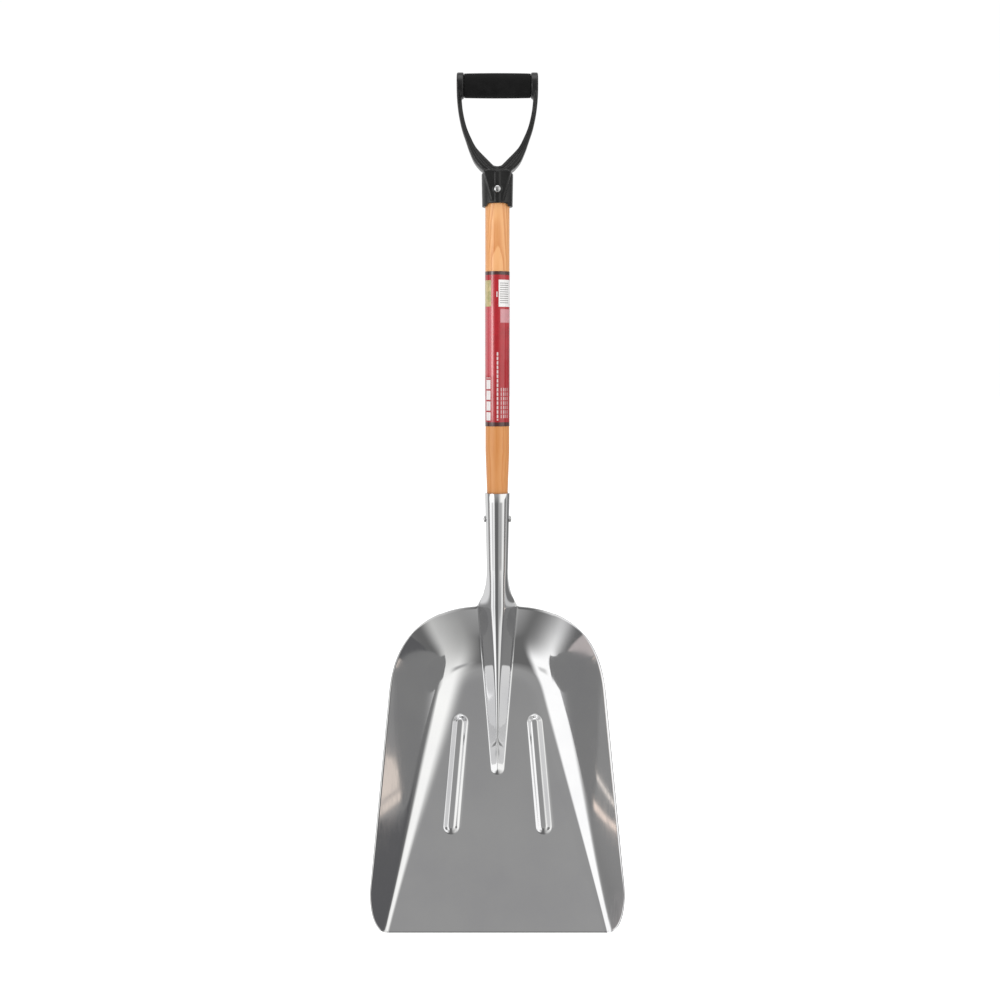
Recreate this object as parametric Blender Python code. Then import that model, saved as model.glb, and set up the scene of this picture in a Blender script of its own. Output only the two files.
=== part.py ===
"""A grain scoop shovel: pressed aluminium scoop, wooden handle and moulded D-grip.

Units are metres. +Z runs up the handle, the scoop's hollow side faces -Y and +X is to its right.
The origin is the hang point: the underside of the grip bar, on the handle's axis.
Everything is symmetric left to right.
"""

import math

import bmesh
import bpy
from mathutils import Matrix, Vector

FIT_GAP = 0.0003                       # clearance between pieces that touch

# Heights along the handle's axis, measured from the hang point
COLLAR_BOTTOM = -0.1597
COLLAR_RIVET = -0.1352
CROTCH = -0.1010
LABEL_TOP = -0.2552
LABEL_BOTTOM = -0.4861
SOCKET_MOUTH = -0.5879
SOCKET_RIVET = -0.6275
RIM_TOP = -0.7636
MOUTH_EDGE = -1.2412

# Scoop, in floor coordinates: u across, v up the floor from the mouth edge, h off the floor
SHEET = 0.0020
LIFT = math.radians(20)                # between the floor and the handle
RIM_HEIGHT = 0.070                     # the back wall's rim above the floor
RIM_LENGTH = (RIM_TOP - MOUTH_EDGE - RIM_HEIGHT * math.sin(LIFT)) / math.cos(LIFT)
RIM_BEHIND_AXIS = 0.010
WALL_SLOPE = 1.03
FLOOR_LENGTH = RIM_LENGTH - RIM_HEIGHT / WALL_SLOPE
FLOOR_HALF_MOUTH = 0.166               # the floor's half width at the mouth
FLOOR_TAPER = 0.2405                   # how fast the floor narrows towards the back
FLOOR_CORNER = 0.060                   # plan radius where the side and back walls meet
MOUTH_FILLET = 0.007                   # half width of the bend from floor to wall
BACK_FILLET = 0.043
SIDE_HALF_WIDTH = 0.1936               # the rim's half width, run straight on to v = 0
SIDE_TAPER = 0.0905
MOUTH_CORNER = 0.070                   # length of the rounded front corner
SHOULDER_START = 0.338                 # where the sides begin to round over into the rim
SHOULDER_POWER = 2.7
SHOULDER_RIM_HALF = 0.128              # where the side meets the back rim in the grid
CREASE_RIM_HALF = 0.078
CREASE_TURN = 0.33                     # v where the crease begins to turn towards the frog
CORNER_FADE = 0.03                     # the outer crease line starts on the mouth edge over this

# Pressed ribs in the floor
RIB_FRONT = (0.0715, 0.1432)           # (u, v) of the rounded end near the mouth
RIB_BACK = (0.0567, 0.3267)
RIB_HALF_WIDTH = 0.0128
RIB_CREST_HALF = 0.0030
RIB_HEIGHT = 0.0055
RIB_SHARE_FRONT = 0.501                # the rib's place between frog and crease, at each end
RIB_SHARE_BACK = 0.5556
RIB_ROOM = 0.069                       # frog to crease width below which the rib's columns crowd

# Frog: the raised ridge that carries on into the socket
FROG_TIP = 0.2345                      # v of its tip
FROG_TIP_HALF = 0.0112
FROG_SPREAD = 0.0856                   # growth of its half width along the floor
FROG_CREST_TIP = 0.0015                # radius across the crest, at the tip
FROG_SAG_TIP = 0.0028                  # how far the crest drops back behind the socket's line
FROG_SAG_GROWTH = 22.0
FROG_FOOT_FILLET = 0.004
FROG_PARALLEL = 0.0095                 # length behind the tip before the frog begins to widen
NECK_LENGTH = 0.060
SOCKET_TOP_RADIUS = 0.0190
SOCKET_TAPER = 0.0225                  # change of radius with height
SEAM_GAP = 0.0016

# Wooden handle
WOOD_RADIUS = 0.01815
WOOD_SIDES = 32
WOOD_END_STEP = 0.006                  # radius lost over the rounded top end
WOOD_END_EASE = 0.0012
WOOD_END_LENGTH = 0.004
WOOD_BOTTOM = RIM_TOP - 0.045
WOOD_TOP = CROTCH - 0.012

# Rivets
SHANK_RADIUS = 0.0025
HEAD_RADIUS = 0.0052
HEAD_HEIGHT = 0.0030
RIVET_SIDES = 16
HOLE_SIDES = 12
DRILL_REACH = 0.04
HEAD_RIM = 0.0006                      # the head's straight edge, below its dome
# (share of the head's radius, share of its height) up the dome
DOME = [(0.80, 0.66), (0.45, 0.93)]

# D-grip
BAR_RADIUS = 0.0182
BAR_HEIGHT = BAR_RADIUS                # the bar's axis above the hang point
SLEEVE_HALF = 0.0493
SLEEVE_SIDES = 28
SLEEVE_FULLNESS = 0.03                 # share of its radius that it loses towards its ends
CHEEK_INNER = SLEEVE_HALF + FIT_GAP
CHEEK_OUTER = 0.0602
CHEEK_RADIUS = 0.0192
CORE_RADIUS = 0.0120
COLLAR_RADIUS_BOTTOM = 0.0228
COLLAR_RADIUS_TOP = 0.0236
COLLAR_TOP = CROTCH - 0.010
BORE_EASE = 0.0002                     # extra radius of the collar's bore
CORE_SIDES = 20
CHEEK_SIDES = 28
CHEEK_BEVEL = 0.0012
PAD_DEPTH = 0.0242                     # the flat pads in front of and behind the collar
LABEL_FILM = 0.0004


# ---------------------------------------------------------------- general helpers

def clear_scene():
    for obj in list(bpy.data.objects):
        bpy.data.objects.remove(obj)


def make_material(name, colour, roughness, metallic):
    material = bpy.data.materials.new(name)
    material.use_nodes = True
    shader = material.node_tree.nodes["Principled BSDF"]
    shader.inputs["Base Color"].default_value = (*colour, 1.0)
    shader.inputs["Roughness"].default_value = roughness
    shader.inputs["Metallic"].default_value = metallic
    return material


def make_object(name, bm, material=None, sharp_angle=40):
    mesh = bpy.data.meshes.new(name)
    bm.to_mesh(mesh)
    bm.free()
    mesh.shade_smooth()
    mesh.set_sharp_from_angle(angle=math.radians(sharp_angle))
    obj = bpy.data.objects.new(name, mesh)
    bpy.context.scene.collection.objects.link(obj)
    if material:
        mesh.materials.append(material)
    return obj


def hide_tool(obj):
    obj.hide_render = True
    obj.display_type = "WIRE"
    return obj


def add_boolean(obj, tool, operation):
    modifier = obj.modifiers.new(operation.lower(), "BOOLEAN")
    modifier.operation = operation
    modifier.object = tool
    modifier.solver = "EXACT"
    return modifier


def smoothstep(t):
    t = min(max(t, 0.0), 1.0)
    return t * t * (3 - 2 * t)


def lerp(a, b, t):
    return a + (b - a) * t


def turned_body(profile, sides, closed=False):
    """A solid of revolution about Z. profile is (radius, z) pairs from the top down.

    An open profile is capped with flat discs, and a closed one makes a ring.
    """
    bm = bmesh.new()
    rings = []
    for radius, z in profile:
        ring = []
        for i in range(sides):
            angle = 2 * math.pi * i / sides
            ring.append(bm.verts.new((radius * math.cos(angle), radius * math.sin(angle), z)))
        rings.append(ring)
    pairs = list(zip(rings, rings[1:]))
    if closed:
        pairs.append((rings[-1], rings[0]))
    for upper, lower in pairs:
        for i in range(sides):
            j = (i + 1) % sides
            bm.faces.new((upper[i], lower[i], lower[j], upper[j]))
    if not closed:
        bm.faces.new(rings[0])
        bm.faces.new(list(reversed(rings[-1])))
    return bm


# ---------------------------------------------------------------- scoop surface

def edge_half_width(v):
    """The rim's half width in plan, from the rounded mouth corner to the shoulder."""
    side = SIDE_HALF_WIDTH - SIDE_TAPER * v
    if v < MOUTH_CORNER:
        t = 1 - v / MOUTH_CORNER
        side -= (SIDE_HALF_WIDTH - FLOOR_HALF_MOUTH) * (1 - math.sqrt(1 - t * t))
    if v > SHOULDER_START:
        t = min((v - SHOULDER_START) / (RIM_LENGTH - SHOULDER_START), 1.0)
        side *= (1 - t ** SHOULDER_POWER) ** (1 / SHOULDER_POWER)
    return side


def rim_v(u):
    """Where the back rim lies, as v, at a distance u from the axis."""
    low, high = SHOULDER_START, RIM_LENGTH
    for _ in range(50):
        middle = (low + high) / 2
        if edge_half_width(middle) > u:
            low = middle
        else:
            high = middle
    return low


def bend(d, half_width):
    """Height of a wall that rises from the flat floor through a smooth bend, at distance d."""
    if d <= -half_width:
        return 0.0
    if d >= half_width:
        return WALL_SLOPE * d
    t = d / half_width
    rise = (t + 1) ** 2 / 4 - (1 + math.cos(math.pi * t)) / (2 * math.pi ** 2)
    return WALL_SLOPE * half_width * rise


def crease_half_width(v):
    return FLOOR_HALF_MOUTH - FLOOR_TAPER * v


def wall_height(u, v):
    beside = (u - crease_half_width(v)) * math.cos(math.atan(FLOOR_TAPER))
    behind = v - FLOOR_LENGTH
    a = max(beside + FLOOR_CORNER, 0.0)
    b = max(behind + FLOOR_CORNER, 0.0)
    d = (a ** 3 + b ** 3) ** (1 / 3) - FLOOR_CORNER
    return bend(d, lerp(MOUTH_FILLET, BACK_FILLET, smoothstep(v / FLOOR_LENGTH)))


def rib_height(u, v):
    """Height of the pressed rib, a capsule in plan with a rounded crest."""
    front = Vector(RIB_FRONT)
    along = Vector(RIB_BACK) - front
    length = along.length
    along.normalize()
    offset = Vector((u, v)) - front
    s = min(max(offset.dot(along), RIB_HALF_WIDTH), length - RIB_HALF_WIDTH)
    distance = (offset - along * s).length
    t = (distance - RIB_CREST_HALF) / (RIB_HALF_WIDTH - RIB_CREST_HALF)
    t = min(max(t, 0.0), 1.0)
    return RIB_HEIGHT * (1 + math.cos(math.pi * t)) / 2


def scoop_height(u, v):
    return wall_height(abs(u), v) + rib_height(abs(u), v)


MOUTH_Y = (RIM_BEHIND_AXIS - RIM_LENGTH * math.sin(LIFT)
           + RIM_HEIGHT * math.cos(LIFT))


def floor_to_world(u, v, h):
    y = MOUTH_Y + v * math.sin(LIFT) - h * math.cos(LIFT)
    z = MOUTH_EDGE + v * math.cos(LIFT) + h * math.sin(LIFT)
    return Vector((u, y, z))


# ---------------------------------------------------------------- frog, neck and socket

def socket_radius(z):
    return SOCKET_TOP_RADIUS - SOCKET_TAPER * (SOCKET_MOUTH - max(z, RIM_TOP))


def frog_half_width(v):
    return FROG_TIP_HALF + FROG_SPREAD * max(v - FROG_TIP - FROG_PARALLEL, 0.0)


STRIP_COUNTS = (4, 3, 3)               # steps in the crest arc, the flank and the foot
NECK_ROWS = 6
SOCKET_ROWS = 3


def crest_sag(v):
    """How far the frog's crest lies behind the socket's front line, none of it at the rim."""
    t = (v - FROG_TIP - FROG_PARALLEL) / (RIM_LENGTH - FROG_TIP - FROG_PARALLEL)
    return FROG_SAG_TIP * (1 - t) ** 2 * (1 + FROG_SAG_GROWTH * t)


def ridge_shape(half_width, depth, crest_radius, foot_radius):
    """(slope, function) of a ridge's half section: a crest arc, a flank and a foot fillet.

    The function gives the depth below the crest at a distance x from the axis.
    """
    drop = depth - foot_radius - crest_radius
    reach = math.hypot(half_width, drop)
    radii = crest_radius + foot_radius
    slope = math.atan2(drop, half_width) + math.asin(min(radii / reach, 1.0))
    arc_end = crest_radius * math.sin(slope)
    foot_start = half_width - foot_radius * math.sin(slope)

    def depth_at(x):
        if x >= half_width:
            return depth
        if x < arc_end:
            return crest_radius - math.sqrt(crest_radius ** 2 - x * x)
        if x > foot_start:
            from_foot = half_width - x
            return depth - foot_radius + math.sqrt(foot_radius ** 2 - from_foot ** 2)
        return crest_radius * (1 - math.cos(slope)) + (x - arc_end) * math.tan(slope)

    return slope, depth_at


def ridge_stations(half_width, crest_radius, foot_radius, slope):
    """Distances from the axis for the points across half a ridge, crowding on its bends."""
    arc_end = crest_radius * math.sin(slope)
    foot_start = half_width - foot_radius * math.sin(slope)
    arc_count, flank_count, foot_count = STRIP_COUNTS
    xs = [crest_radius * math.sin(slope * i / arc_count) for i in range(arc_count + 1)]
    xs += [lerp(arc_end, foot_start, i / flank_count) for i in range(1, flank_count)]
    xs += [half_width - foot_radius * math.sin(slope * (1 - i / foot_count))
           for i in range(foot_count + 1)]
    steepness = smoothstep(slope / math.radians(35))
    last = len(xs) - 1
    return [lerp(half_width * i / last, x, steepness) for i, x in enumerate(xs)]


def frog_row(v):
    """Half a row of points across the frog, from the crest to its foot at v on the scoop.

    In front of its parallel part the frog ends in a rounded nose, where the section is read at
    the distance from the nose's centre.
    """
    nose = FROG_TIP + FROG_PARALLEL
    ahead = max(nose - v, 0.0)
    solid_v = max(v, nose)
    half_width = frog_half_width(solid_v)
    foot = floor_to_world(half_width, v, scoop_height(half_width, v))
    solid_foot = floor_to_world(half_width, solid_v, scoop_height(half_width, solid_v))
    up = (solid_foot.z - MOUTH_EDGE) / (RIM_TOP - MOUTH_EDGE)
    tip_up = FROG_TIP * math.cos(LIFT) / (RIM_TOP - MOUTH_EDGE)
    depth = solid_foot.y + socket_radius(solid_foot.z) - crest_sag(solid_v)
    growth = max((up - tip_up) / (1 - tip_up), 0.0)
    crest_radius = lerp(FROG_CREST_TIP, socket_radius(RIM_TOP), growth ** 2)
    slope, depth_at = ridge_shape(half_width, depth, crest_radius, FROG_FOOT_FILLET)
    xs = ridge_stations(half_width, crest_radius, FROG_FOOT_FILLET, slope)
    rises = [depth - depth_at(math.hypot(x, ahead)) for x in xs]
    return [Vector((x, foot.y - rise, foot.z)) for x, rise in zip(xs, rises)]


def arc_shares(row):
    """Each point's share of the row's length, from 0 at the crest to 1 at the foot."""
    lengths = [0.0]
    for a, b in zip(row, row[1:]):
        lengths.append(lengths[-1] + (b - a).length)
    return [length / lengths[-1] for length in lengths]


def socket_row(z, rim_row, shares):
    """Half a row of the neck or socket: the open frog at the rim closes into a tube."""
    closing = min((z - RIM_TOP) / NECK_LENGTH, 1.0)
    radius = socket_radius(z)
    last_angle = math.pi - SEAM_GAP / 2 / radius
    row = []
    last = len(rim_row) - 1
    for i, (point, share) in enumerate(zip(rim_row, shares)):
        angle = last_angle * lerp(share, i / last, closing)
        tube = Vector((radius * math.sin(angle), -radius * math.cos(angle), z))
        row.append(Vector((point.x, point.y, z)).lerp(tube, closing))
    return row


# ---------------------------------------------------------------- scoop mesh

def row_stations():
    """v of each row of the grid, closer together where the sheet is shaped."""
    rib_front = RIB_FRONT[1]
    rib_back = RIB_BACK[1]
    spans = [
        (0.0, rib_front - 0.002, 4),
        (rib_front - 0.002, rib_front + 0.014, 3),
        (rib_front + 0.014, FROG_TIP - 0.008, 3),
        (FROG_TIP - 0.008, FROG_TIP + 0.014, 4),
        (FROG_TIP + 0.014, rib_back - 0.014, 2),
        (rib_back - 0.014, rib_back + 0.002, 3),
        (rib_back + 0.002, FLOOR_LENGTH, 4),
        (FLOOR_LENGTH, RIM_LENGTH, 6),
    ]
    stations = [0.0]
    for start, end, steps in spans:
        stations += [lerp(start, end, i / steps) for i in range(1, steps + 1)]
    return stations


def rib_line(v, foot, crease):
    """Half width of the rib's axis, carried on past the rib's ends between frog and crease."""
    share = (v - RIB_FRONT[1]) / (RIB_BACK[1] - RIB_FRONT[1])
    if 0.0 < share < 1.0:
        return lerp(RIB_FRONT[0], RIB_BACK[0], share)
    return lerp(foot, crease, RIB_SHARE_FRONT if share <= 0.0 else RIB_SHARE_BACK)


def guide_lines(v):
    """Half widths of the lines that the grid's columns follow up the floor."""
    foot = frog_half_width(v)
    turn = max((v - CREASE_TURN) / (RIM_LENGTH - CREASE_TURN), 0.0)
    crease = crease_half_width(v)
    crease += (CREASE_RIM_HALF - crease_half_width(RIM_LENGTH)) * turn ** 2
    rib = rib_line(v, foot, crease)
    spread = RIB_HALF_WIDTH * min(1.0, (crease - foot) / RIB_ROOM)
    outer_crease = crease + MOUTH_FILLET * min(v / CORNER_FADE, 1.0)
    return [foot, rib - spread, rib + spread, crease - MOUTH_FILLET, outer_crease]


# (guide line, share of the way to the next one) for each column outside the frog
INNER_COLUMNS = [(0, 0.5), (1, 0.0), (1, 0.2), (1, 0.4), (1, 0.6), (1, 0.8), (2, 0.0),
                 (2, 0.5), (3, 0.0), (3, 0.5), (4, 0.0)]
OUTER_COLUMNS = [0.25, 0.5, 0.75, 1.0]
CORNER_REACH = 0.8                     # share of the mouth corner that the grid's front edge takes
SHOULDER_FADE = 0.55                   # row share where the columns begin to bend to the rim
MOUTH_FADE = 0.2                       # row share by which the mouth corner's bend has faded


def inner_point(column, row_share):
    """(u, v) of a grid point between the frog and the crease."""
    guide, share = column
    lines = guide_lines(RIM_LENGTH)
    top = lerp(lines[guide], lines[min(guide + 1, 4)], share)
    v = row_share * rim_v(top)
    lines = guide_lines(v)
    return lerp(lines[guide], lines[min(guide + 1, 4)], share), v


def outer_point(share, row_share):
    """(u, v) of a grid point between the crease and the rim.

    A straight blend from crease to rim misses the rim at the mouth corner and the shoulder, so
    what it misses there is added back, fading out along the column.
    """
    crease_top = guide_lines(RIM_LENGTH)[4]
    top_u = lerp(crease_top, SHOULDER_RIM_HALF, share)
    start_v = MOUTH_CORNER * CORNER_REACH * (1 - math.cos(share * math.pi / 2))
    end_v = rim_v(top_u)

    def blended(at_v):
        return lerp(guide_lines(at_v)[4], edge_half_width(at_v), share)

    v = lerp(start_v, end_v, row_share)
    near_end = max((row_share - SHOULDER_FADE) / (1 - SHOULDER_FADE), 0.0) ** 2
    near_start = max(1 - row_share / MOUTH_FADE, 0.0) ** 2
    u = blended(v) + (top_u - blended(end_v)) * near_end
    u += (edge_half_width(start_v) - blended(start_v)) * near_start
    return u, v


def half_rows():
    """Rows of points on the right half, from the crest line outwards, mouth to socket."""
    rows = []
    for v in row_stations():
        row = frog_row(v)
        for column in INNER_COLUMNS:
            u, grid_v = inner_point(column, v / RIM_LENGTH)
            row.append(floor_to_world(u, grid_v, scoop_height(u, grid_v)))
        for share in OUTER_COLUMNS:
            u, grid_v = outer_point(share, v / RIM_LENGTH)
            row.append(floor_to_world(u, grid_v, scoop_height(u, grid_v)))
        rows.append(row)
    rim_row = rows[-1][:sum(STRIP_COUNTS) + 1]
    shares = arc_shares(rim_row)
    heights = [lerp(RIM_TOP, RIM_TOP + NECK_LENGTH, i / NECK_ROWS)
               for i in range(1, NECK_ROWS + 1)]
    heights += [lerp(heights[-1], SOCKET_MOUTH, i / SOCKET_ROWS)
                for i in range(1, SOCKET_ROWS + 1)]
    rows += [socket_row(z, rim_row, shares) for z in heights]
    return rows


def build_scoop_blade(material):
    bm = bmesh.new()
    sides = {1: [], -1: []}
    for row in half_rows():
        centre = bm.verts.new(row[0])
        for sign, rows in sides.items():
            mirrored = [bm.verts.new((sign * p.x, p.y, p.z)) for p in row[1:]]
            rows.append([centre] + mirrored)
    for sign, rows in sides.items():
        for lower, upper in zip(rows, rows[1:]):
            for i in range(min(len(lower), len(upper)) - 1):
                face = [lower[i], lower[i + 1], upper[i + 1], upper[i]]
                bm.faces.new(face if sign > 0 else reversed(face))
    blade = make_object("scoop_blade", bm, material)
    solid = blade.modifiers.new("sheet", "SOLIDIFY")
    solid.thickness = SHEET
    solid.offset = -1
    solid.use_even_offset = True
    solid.use_quality_normals = True
    drill = rivet_drill("socket_drill", SOCKET_RIVET, "Y")
    add_boolean(blade, drill, "DIFFERENCE")
    return drill


# ---------------------------------------------------------------- handle and label

def wood_profile():
    """(radius, z) pairs from the top down: domed top, shaft, and the taper in the socket."""
    radius = WOOD_RADIUS
    inner_mouth = socket_radius(SOCKET_MOUTH) - SHEET
    inner_neck = socket_radius(RIM_TOP + NECK_LENGTH) - SHEET - FIT_GAP * 2
    return [
        (radius - WOOD_END_STEP, WOOD_TOP),
        (radius - WOOD_END_EASE, WOOD_TOP - WOOD_END_LENGTH),
        (radius - 0.0005, COLLAR_BOTTOM + 0.004),
        (radius, COLLAR_BOTTOM - 0.002),
        (radius, SOCKET_MOUTH + 0.064),
        (inner_mouth - 0.0006, SOCKET_MOUTH + 0.016),
        (inner_mouth - 0.0011, SOCKET_MOUTH),
        (inner_neck - 0.0006, RIM_TOP + NECK_LENGTH),
        (inner_neck - 0.0032, RIM_TOP),
        (0.0085, WOOD_BOTTOM + 0.006),
        (0.0060, WOOD_BOTTOM),
    ]


def build_wood_handle(material, drills):
    handle = make_object("wood_handle", turned_body(wood_profile(), WOOD_SIDES), material)
    for drill in drills:
        add_boolean(handle, drill, "DIFFERENCE")


def build_handle_label(material):
    inner = WOOD_RADIUS + FIT_GAP
    outer = inner + LABEL_FILM
    profile = [(inner, LABEL_TOP), (outer, LABEL_TOP), (outer, LABEL_BOTTOM),
               (inner, LABEL_BOTTOM)]
    ring = turned_body(profile, WOOD_SIDES, closed=True)
    make_object("handle_label", ring, material)


# ---------------------------------------------------------------- rivets

def rivet_drill(name, height, axis):
    """The cutter for a rivet's hole, turned about the axis from upright to level."""
    radius = SHANK_RADIUS + FIT_GAP
    hole = turned_body([(radius, DRILL_REACH), (radius, -DRILL_REACH)], HOLE_SIDES)
    drill = hide_tool(make_object(name, hole))
    turn = Matrix.Rotation(math.pi / 2, 4, axis)
    drill.matrix_world = Matrix.Translation((0, 0, height)) @ turn
    return drill


def rivet_body(half_length, seat_drop):
    """A two-headed rivet along Z. seat_drop(x, y) is how far the seat lies below its middle."""
    bm = bmesh.new()
    neck = half_length + FIT_GAP
    half = [(SHANK_RADIUS, neck), (HEAD_RADIUS, neck), (HEAD_RADIUS, neck + HEAD_RIM)]
    seated = len(half)
    half += [(HEAD_RADIUS * across, neck + HEAD_HEIGHT * up) for across, up in DOME]
    rings = []
    for sign in (1, -1):
        side = []
        for step, (radius, height) in enumerate(half):
            ring = []
            for i in range(RIVET_SIDES):
                angle = 2 * math.pi * i / RIVET_SIDES
                x, y = radius * math.cos(angle), radius * math.sin(angle)
                drop = seat_drop(x, y) if step < seated else 0.0
                ring.append(bm.verts.new((x, y, sign * (height - drop))))
            side.append(ring)
        rings.append(side)
    order = list(reversed(rings[0])) + rings[1]
    top = bm.verts.new((0, 0, neck + HEAD_HEIGHT))
    bottom = bm.verts.new((0, 0, -neck - HEAD_HEIGHT))
    for upper, lower in zip(order, order[1:]):
        for i in range(RIVET_SIDES):
            j = (i + 1) % RIVET_SIDES
            bm.faces.new((upper[i], lower[i], lower[j], upper[j]))
    for i in range(RIVET_SIDES):
        j = (i + 1) % RIVET_SIDES
        bm.faces.new((top, order[0][i], order[0][j]))
        bm.faces.new((bottom, order[-1][j], order[-1][i]))
    return bm


def build_socket_rivet(material):
    """Left to right through the socket and the wood; its seats follow the tube."""
    radius = socket_radius(SOCKET_RIVET)

    def seat_drop(x, y):
        return radius - math.sqrt(radius * radius - y * y)

    rivet = make_object("socket_rivet", rivet_body(radius, seat_drop), material)
    rivet.rotation_euler = (0, math.pi / 2, 0)
    rivet.location = (0, 0, SOCKET_RIVET)


def build_collar_rivet(material):
    """Front to back through the collar and the wood; its seats are flat."""
    rivet = make_object("collar_rivet", rivet_body(PAD_DEPTH, lambda x, y: 0.0), material)
    rivet.rotation_euler = (math.pi / 2, 0, 0)
    rivet.location = (0, 0, COLLAR_RIVET)


# ---------------------------------------------------------------- D-grip

# (outer x, inner x, z, half depth) down the right arm of the D, from the cheek to the crotch
ARM_STATIONS = [
    (0.0600, 0.0532, 0.0060, 0.0125),
    (0.0590, 0.0524, -0.0085, 0.0120),
    (0.0568, 0.0503, -0.0240, 0.0118),
    (0.0525, 0.0456, -0.0430, 0.0118),
    (0.0467, 0.0384, -0.0600, 0.0122),
    (0.0418, 0.0305, -0.0740, 0.0132),
    (0.0346, 0.0156, -0.0898, 0.0150),
    (0.0262, 0.0055, -0.1000, 0.0165),
]
CROTCH_STATION = (-0.1240, CROTCH, 0.0175)   # (bottom z, top z, half depth) on the axis
ARM_BEVEL = 0.22                       # share of the arm's width that its bevels take
ARM_EDGE = 0.86                        # share of its half depth left at its sides
ARM_TILT = 0.004                       # its outer side lies this far below its inner side
PAD_TOP_HALF = 0.0205
PAD_FOOT_HALF = 0.0092


def arm_section(outer, inner, half_depth):
    """Eight points round the arm's bevelled, nearly rectangular section."""
    outer, inner = Vector(outer), Vector(inner)
    a = outer.lerp(inner, ARM_BEVEL)
    b = outer.lerp(inner, 1 - ARM_BEVEL)
    edge = half_depth * ARM_EDGE
    return [
        (a.x, -half_depth, a.y), (b.x, -half_depth, b.y),
        (inner.x, -edge, inner.y), (inner.x, edge, inner.y),
        (b.x, half_depth, b.y), (a.x, half_depth, a.y),
        (outer.x, edge, outer.y), (outer.x, -edge, outer.y),
    ]


def d_frame_body():
    """Both arms and the crotch as one bar swept down one side and up the other."""
    sections = []
    for outer, inner, z, depth in ARM_STATIONS:
        sections.append(arm_section((outer, z - ARM_TILT), (inner, z), depth))
    bottom, top, depth = CROTCH_STATION
    left = [[(-x, y, z) for x, y, z in section] for section in reversed(sections)]
    sections.append(arm_section((0, bottom), (0, top), depth))
    sections += left
    bm = bmesh.new()
    rings = [[bm.verts.new(point) for point in section] for section in sections]
    for first, second in zip(rings, rings[1:]):
        for i in range(8):
            j = (i + 1) % 8
            bm.faces.new((first[i], first[j], second[j], second[i]))
    bm.faces.new(list(reversed(rings[0])))
    bm.faces.new(rings[-1])
    bmesh.ops.recalc_face_normals(bm, faces=bm.faces)
    return bm


def pad_body():
    """The tapered flat pad that runs through the collar from front to back."""
    top, bottom = CROTCH - 0.006, COLLAR_BOTTOM + 0.007
    outline = [(PAD_TOP_HALF, top), (PAD_FOOT_HALF, bottom),
               (-PAD_FOOT_HALF, bottom), (-PAD_TOP_HALF, top)]
    bm = bmesh.new()
    front = [bm.verts.new((x, -PAD_DEPTH, z)) for x, z in outline]
    back = [bm.verts.new((x, PAD_DEPTH, z)) for x, z in outline]
    bm.faces.new(front)
    bm.faces.new(list(reversed(back)))
    for i in range(4):
        j = (i + 1) % 4
        bm.faces.new((front[j], front[i], back[i], back[j]))
    bmesh.ops.recalc_face_normals(bm, faces=bm.faces)
    return bm


def bar_body(half_length, radius, sides, bevel=0.0):
    """A cylinder along X, centred on the grip bar's axis."""
    profile = [(radius - bevel, half_length), (radius, half_length - bevel),
               (radius, -half_length + bevel), (radius - bevel, -half_length)]
    if not bevel:
        profile = [(radius, half_length), (radius, -half_length)]
    bm = turned_body(profile, sides)
    bm.transform(Matrix.Rotation(math.pi / 2, 4, "Y"))
    return bm


def build_grip_yoke(material, drill):
    collar = [(COLLAR_RADIUS_TOP - 0.006, COLLAR_TOP + 0.005), (COLLAR_RADIUS_TOP, COLLAR_TOP),
              (COLLAR_RADIUS_BOTTOM, COLLAR_BOTTOM)]
    yoke = make_object("grip_yoke", turned_body(collar, WOOD_SIDES), material, 35)
    cheek_half = (CHEEK_OUTER - CHEEK_INNER) / 2
    cheek_middle = (CHEEK_OUTER + CHEEK_INNER) / 2
    added = [
        make_object("frame_tool", d_frame_body()),
        make_object("pad_tool", pad_body()),
        make_object("core_tool", bar_body(cheek_middle, CORE_RADIUS, CORE_SIDES)),
    ]
    added[2].location = (0, 0, BAR_HEIGHT)
    for sign in (1, -1):
        cheek = make_object("cheek_tool", bar_body(cheek_half, CHEEK_RADIUS, CHEEK_SIDES, CHEEK_BEVEL))
        cheek.location = (sign * cheek_middle, 0, BAR_HEIGHT)
        added.append(cheek)
    for tool in added:
        add_boolean(yoke, hide_tool(tool), "UNION")
    bore_radius = WOOD_RADIUS + FIT_GAP
    mouth_radius = bore_radius + BORE_EASE
    bore = [(bore_radius - WOOD_END_STEP + BORE_EASE, WOOD_TOP + FIT_GAP),
            (bore_radius - WOOD_END_EASE + BORE_EASE, WOOD_TOP - WOOD_END_LENGTH + FIT_GAP),
            (mouth_radius, COLLAR_BOTTOM + 0.001),
            (mouth_radius, COLLAR_BOTTOM - 0.010)]
    bore_tool = hide_tool(make_object("bore_tool", turned_body(bore, WOOD_SIDES)))
    add_boolean(yoke, bore_tool, "DIFFERENCE")
    add_boolean(yoke, drill, "DIFFERENCE")


def build_grip_sleeve(material):
    """A tube round the core bar, slightly fuller in the middle."""
    inner = CORE_RADIUS + FIT_GAP
    outer = [(BAR_RADIUS * (1 - SLEEVE_FULLNESS * (x / SLEEVE_HALF) ** 2), x)
             for x in (SLEEVE_HALF, SLEEVE_HALF * 0.6, 0.0, -SLEEVE_HALF * 0.6, -SLEEVE_HALF)]
    profile = [(inner, SLEEVE_HALF)] + outer + [(inner, -SLEEVE_HALF)]
    sleeve = turned_body(profile, SLEEVE_SIDES, closed=True)
    sleeve.transform(Matrix.Rotation(math.pi / 2, 4, "Y"))
    obj = make_object("grip_sleeve", sleeve, material)
    obj.location = (0, 0, BAR_HEIGHT)


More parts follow.
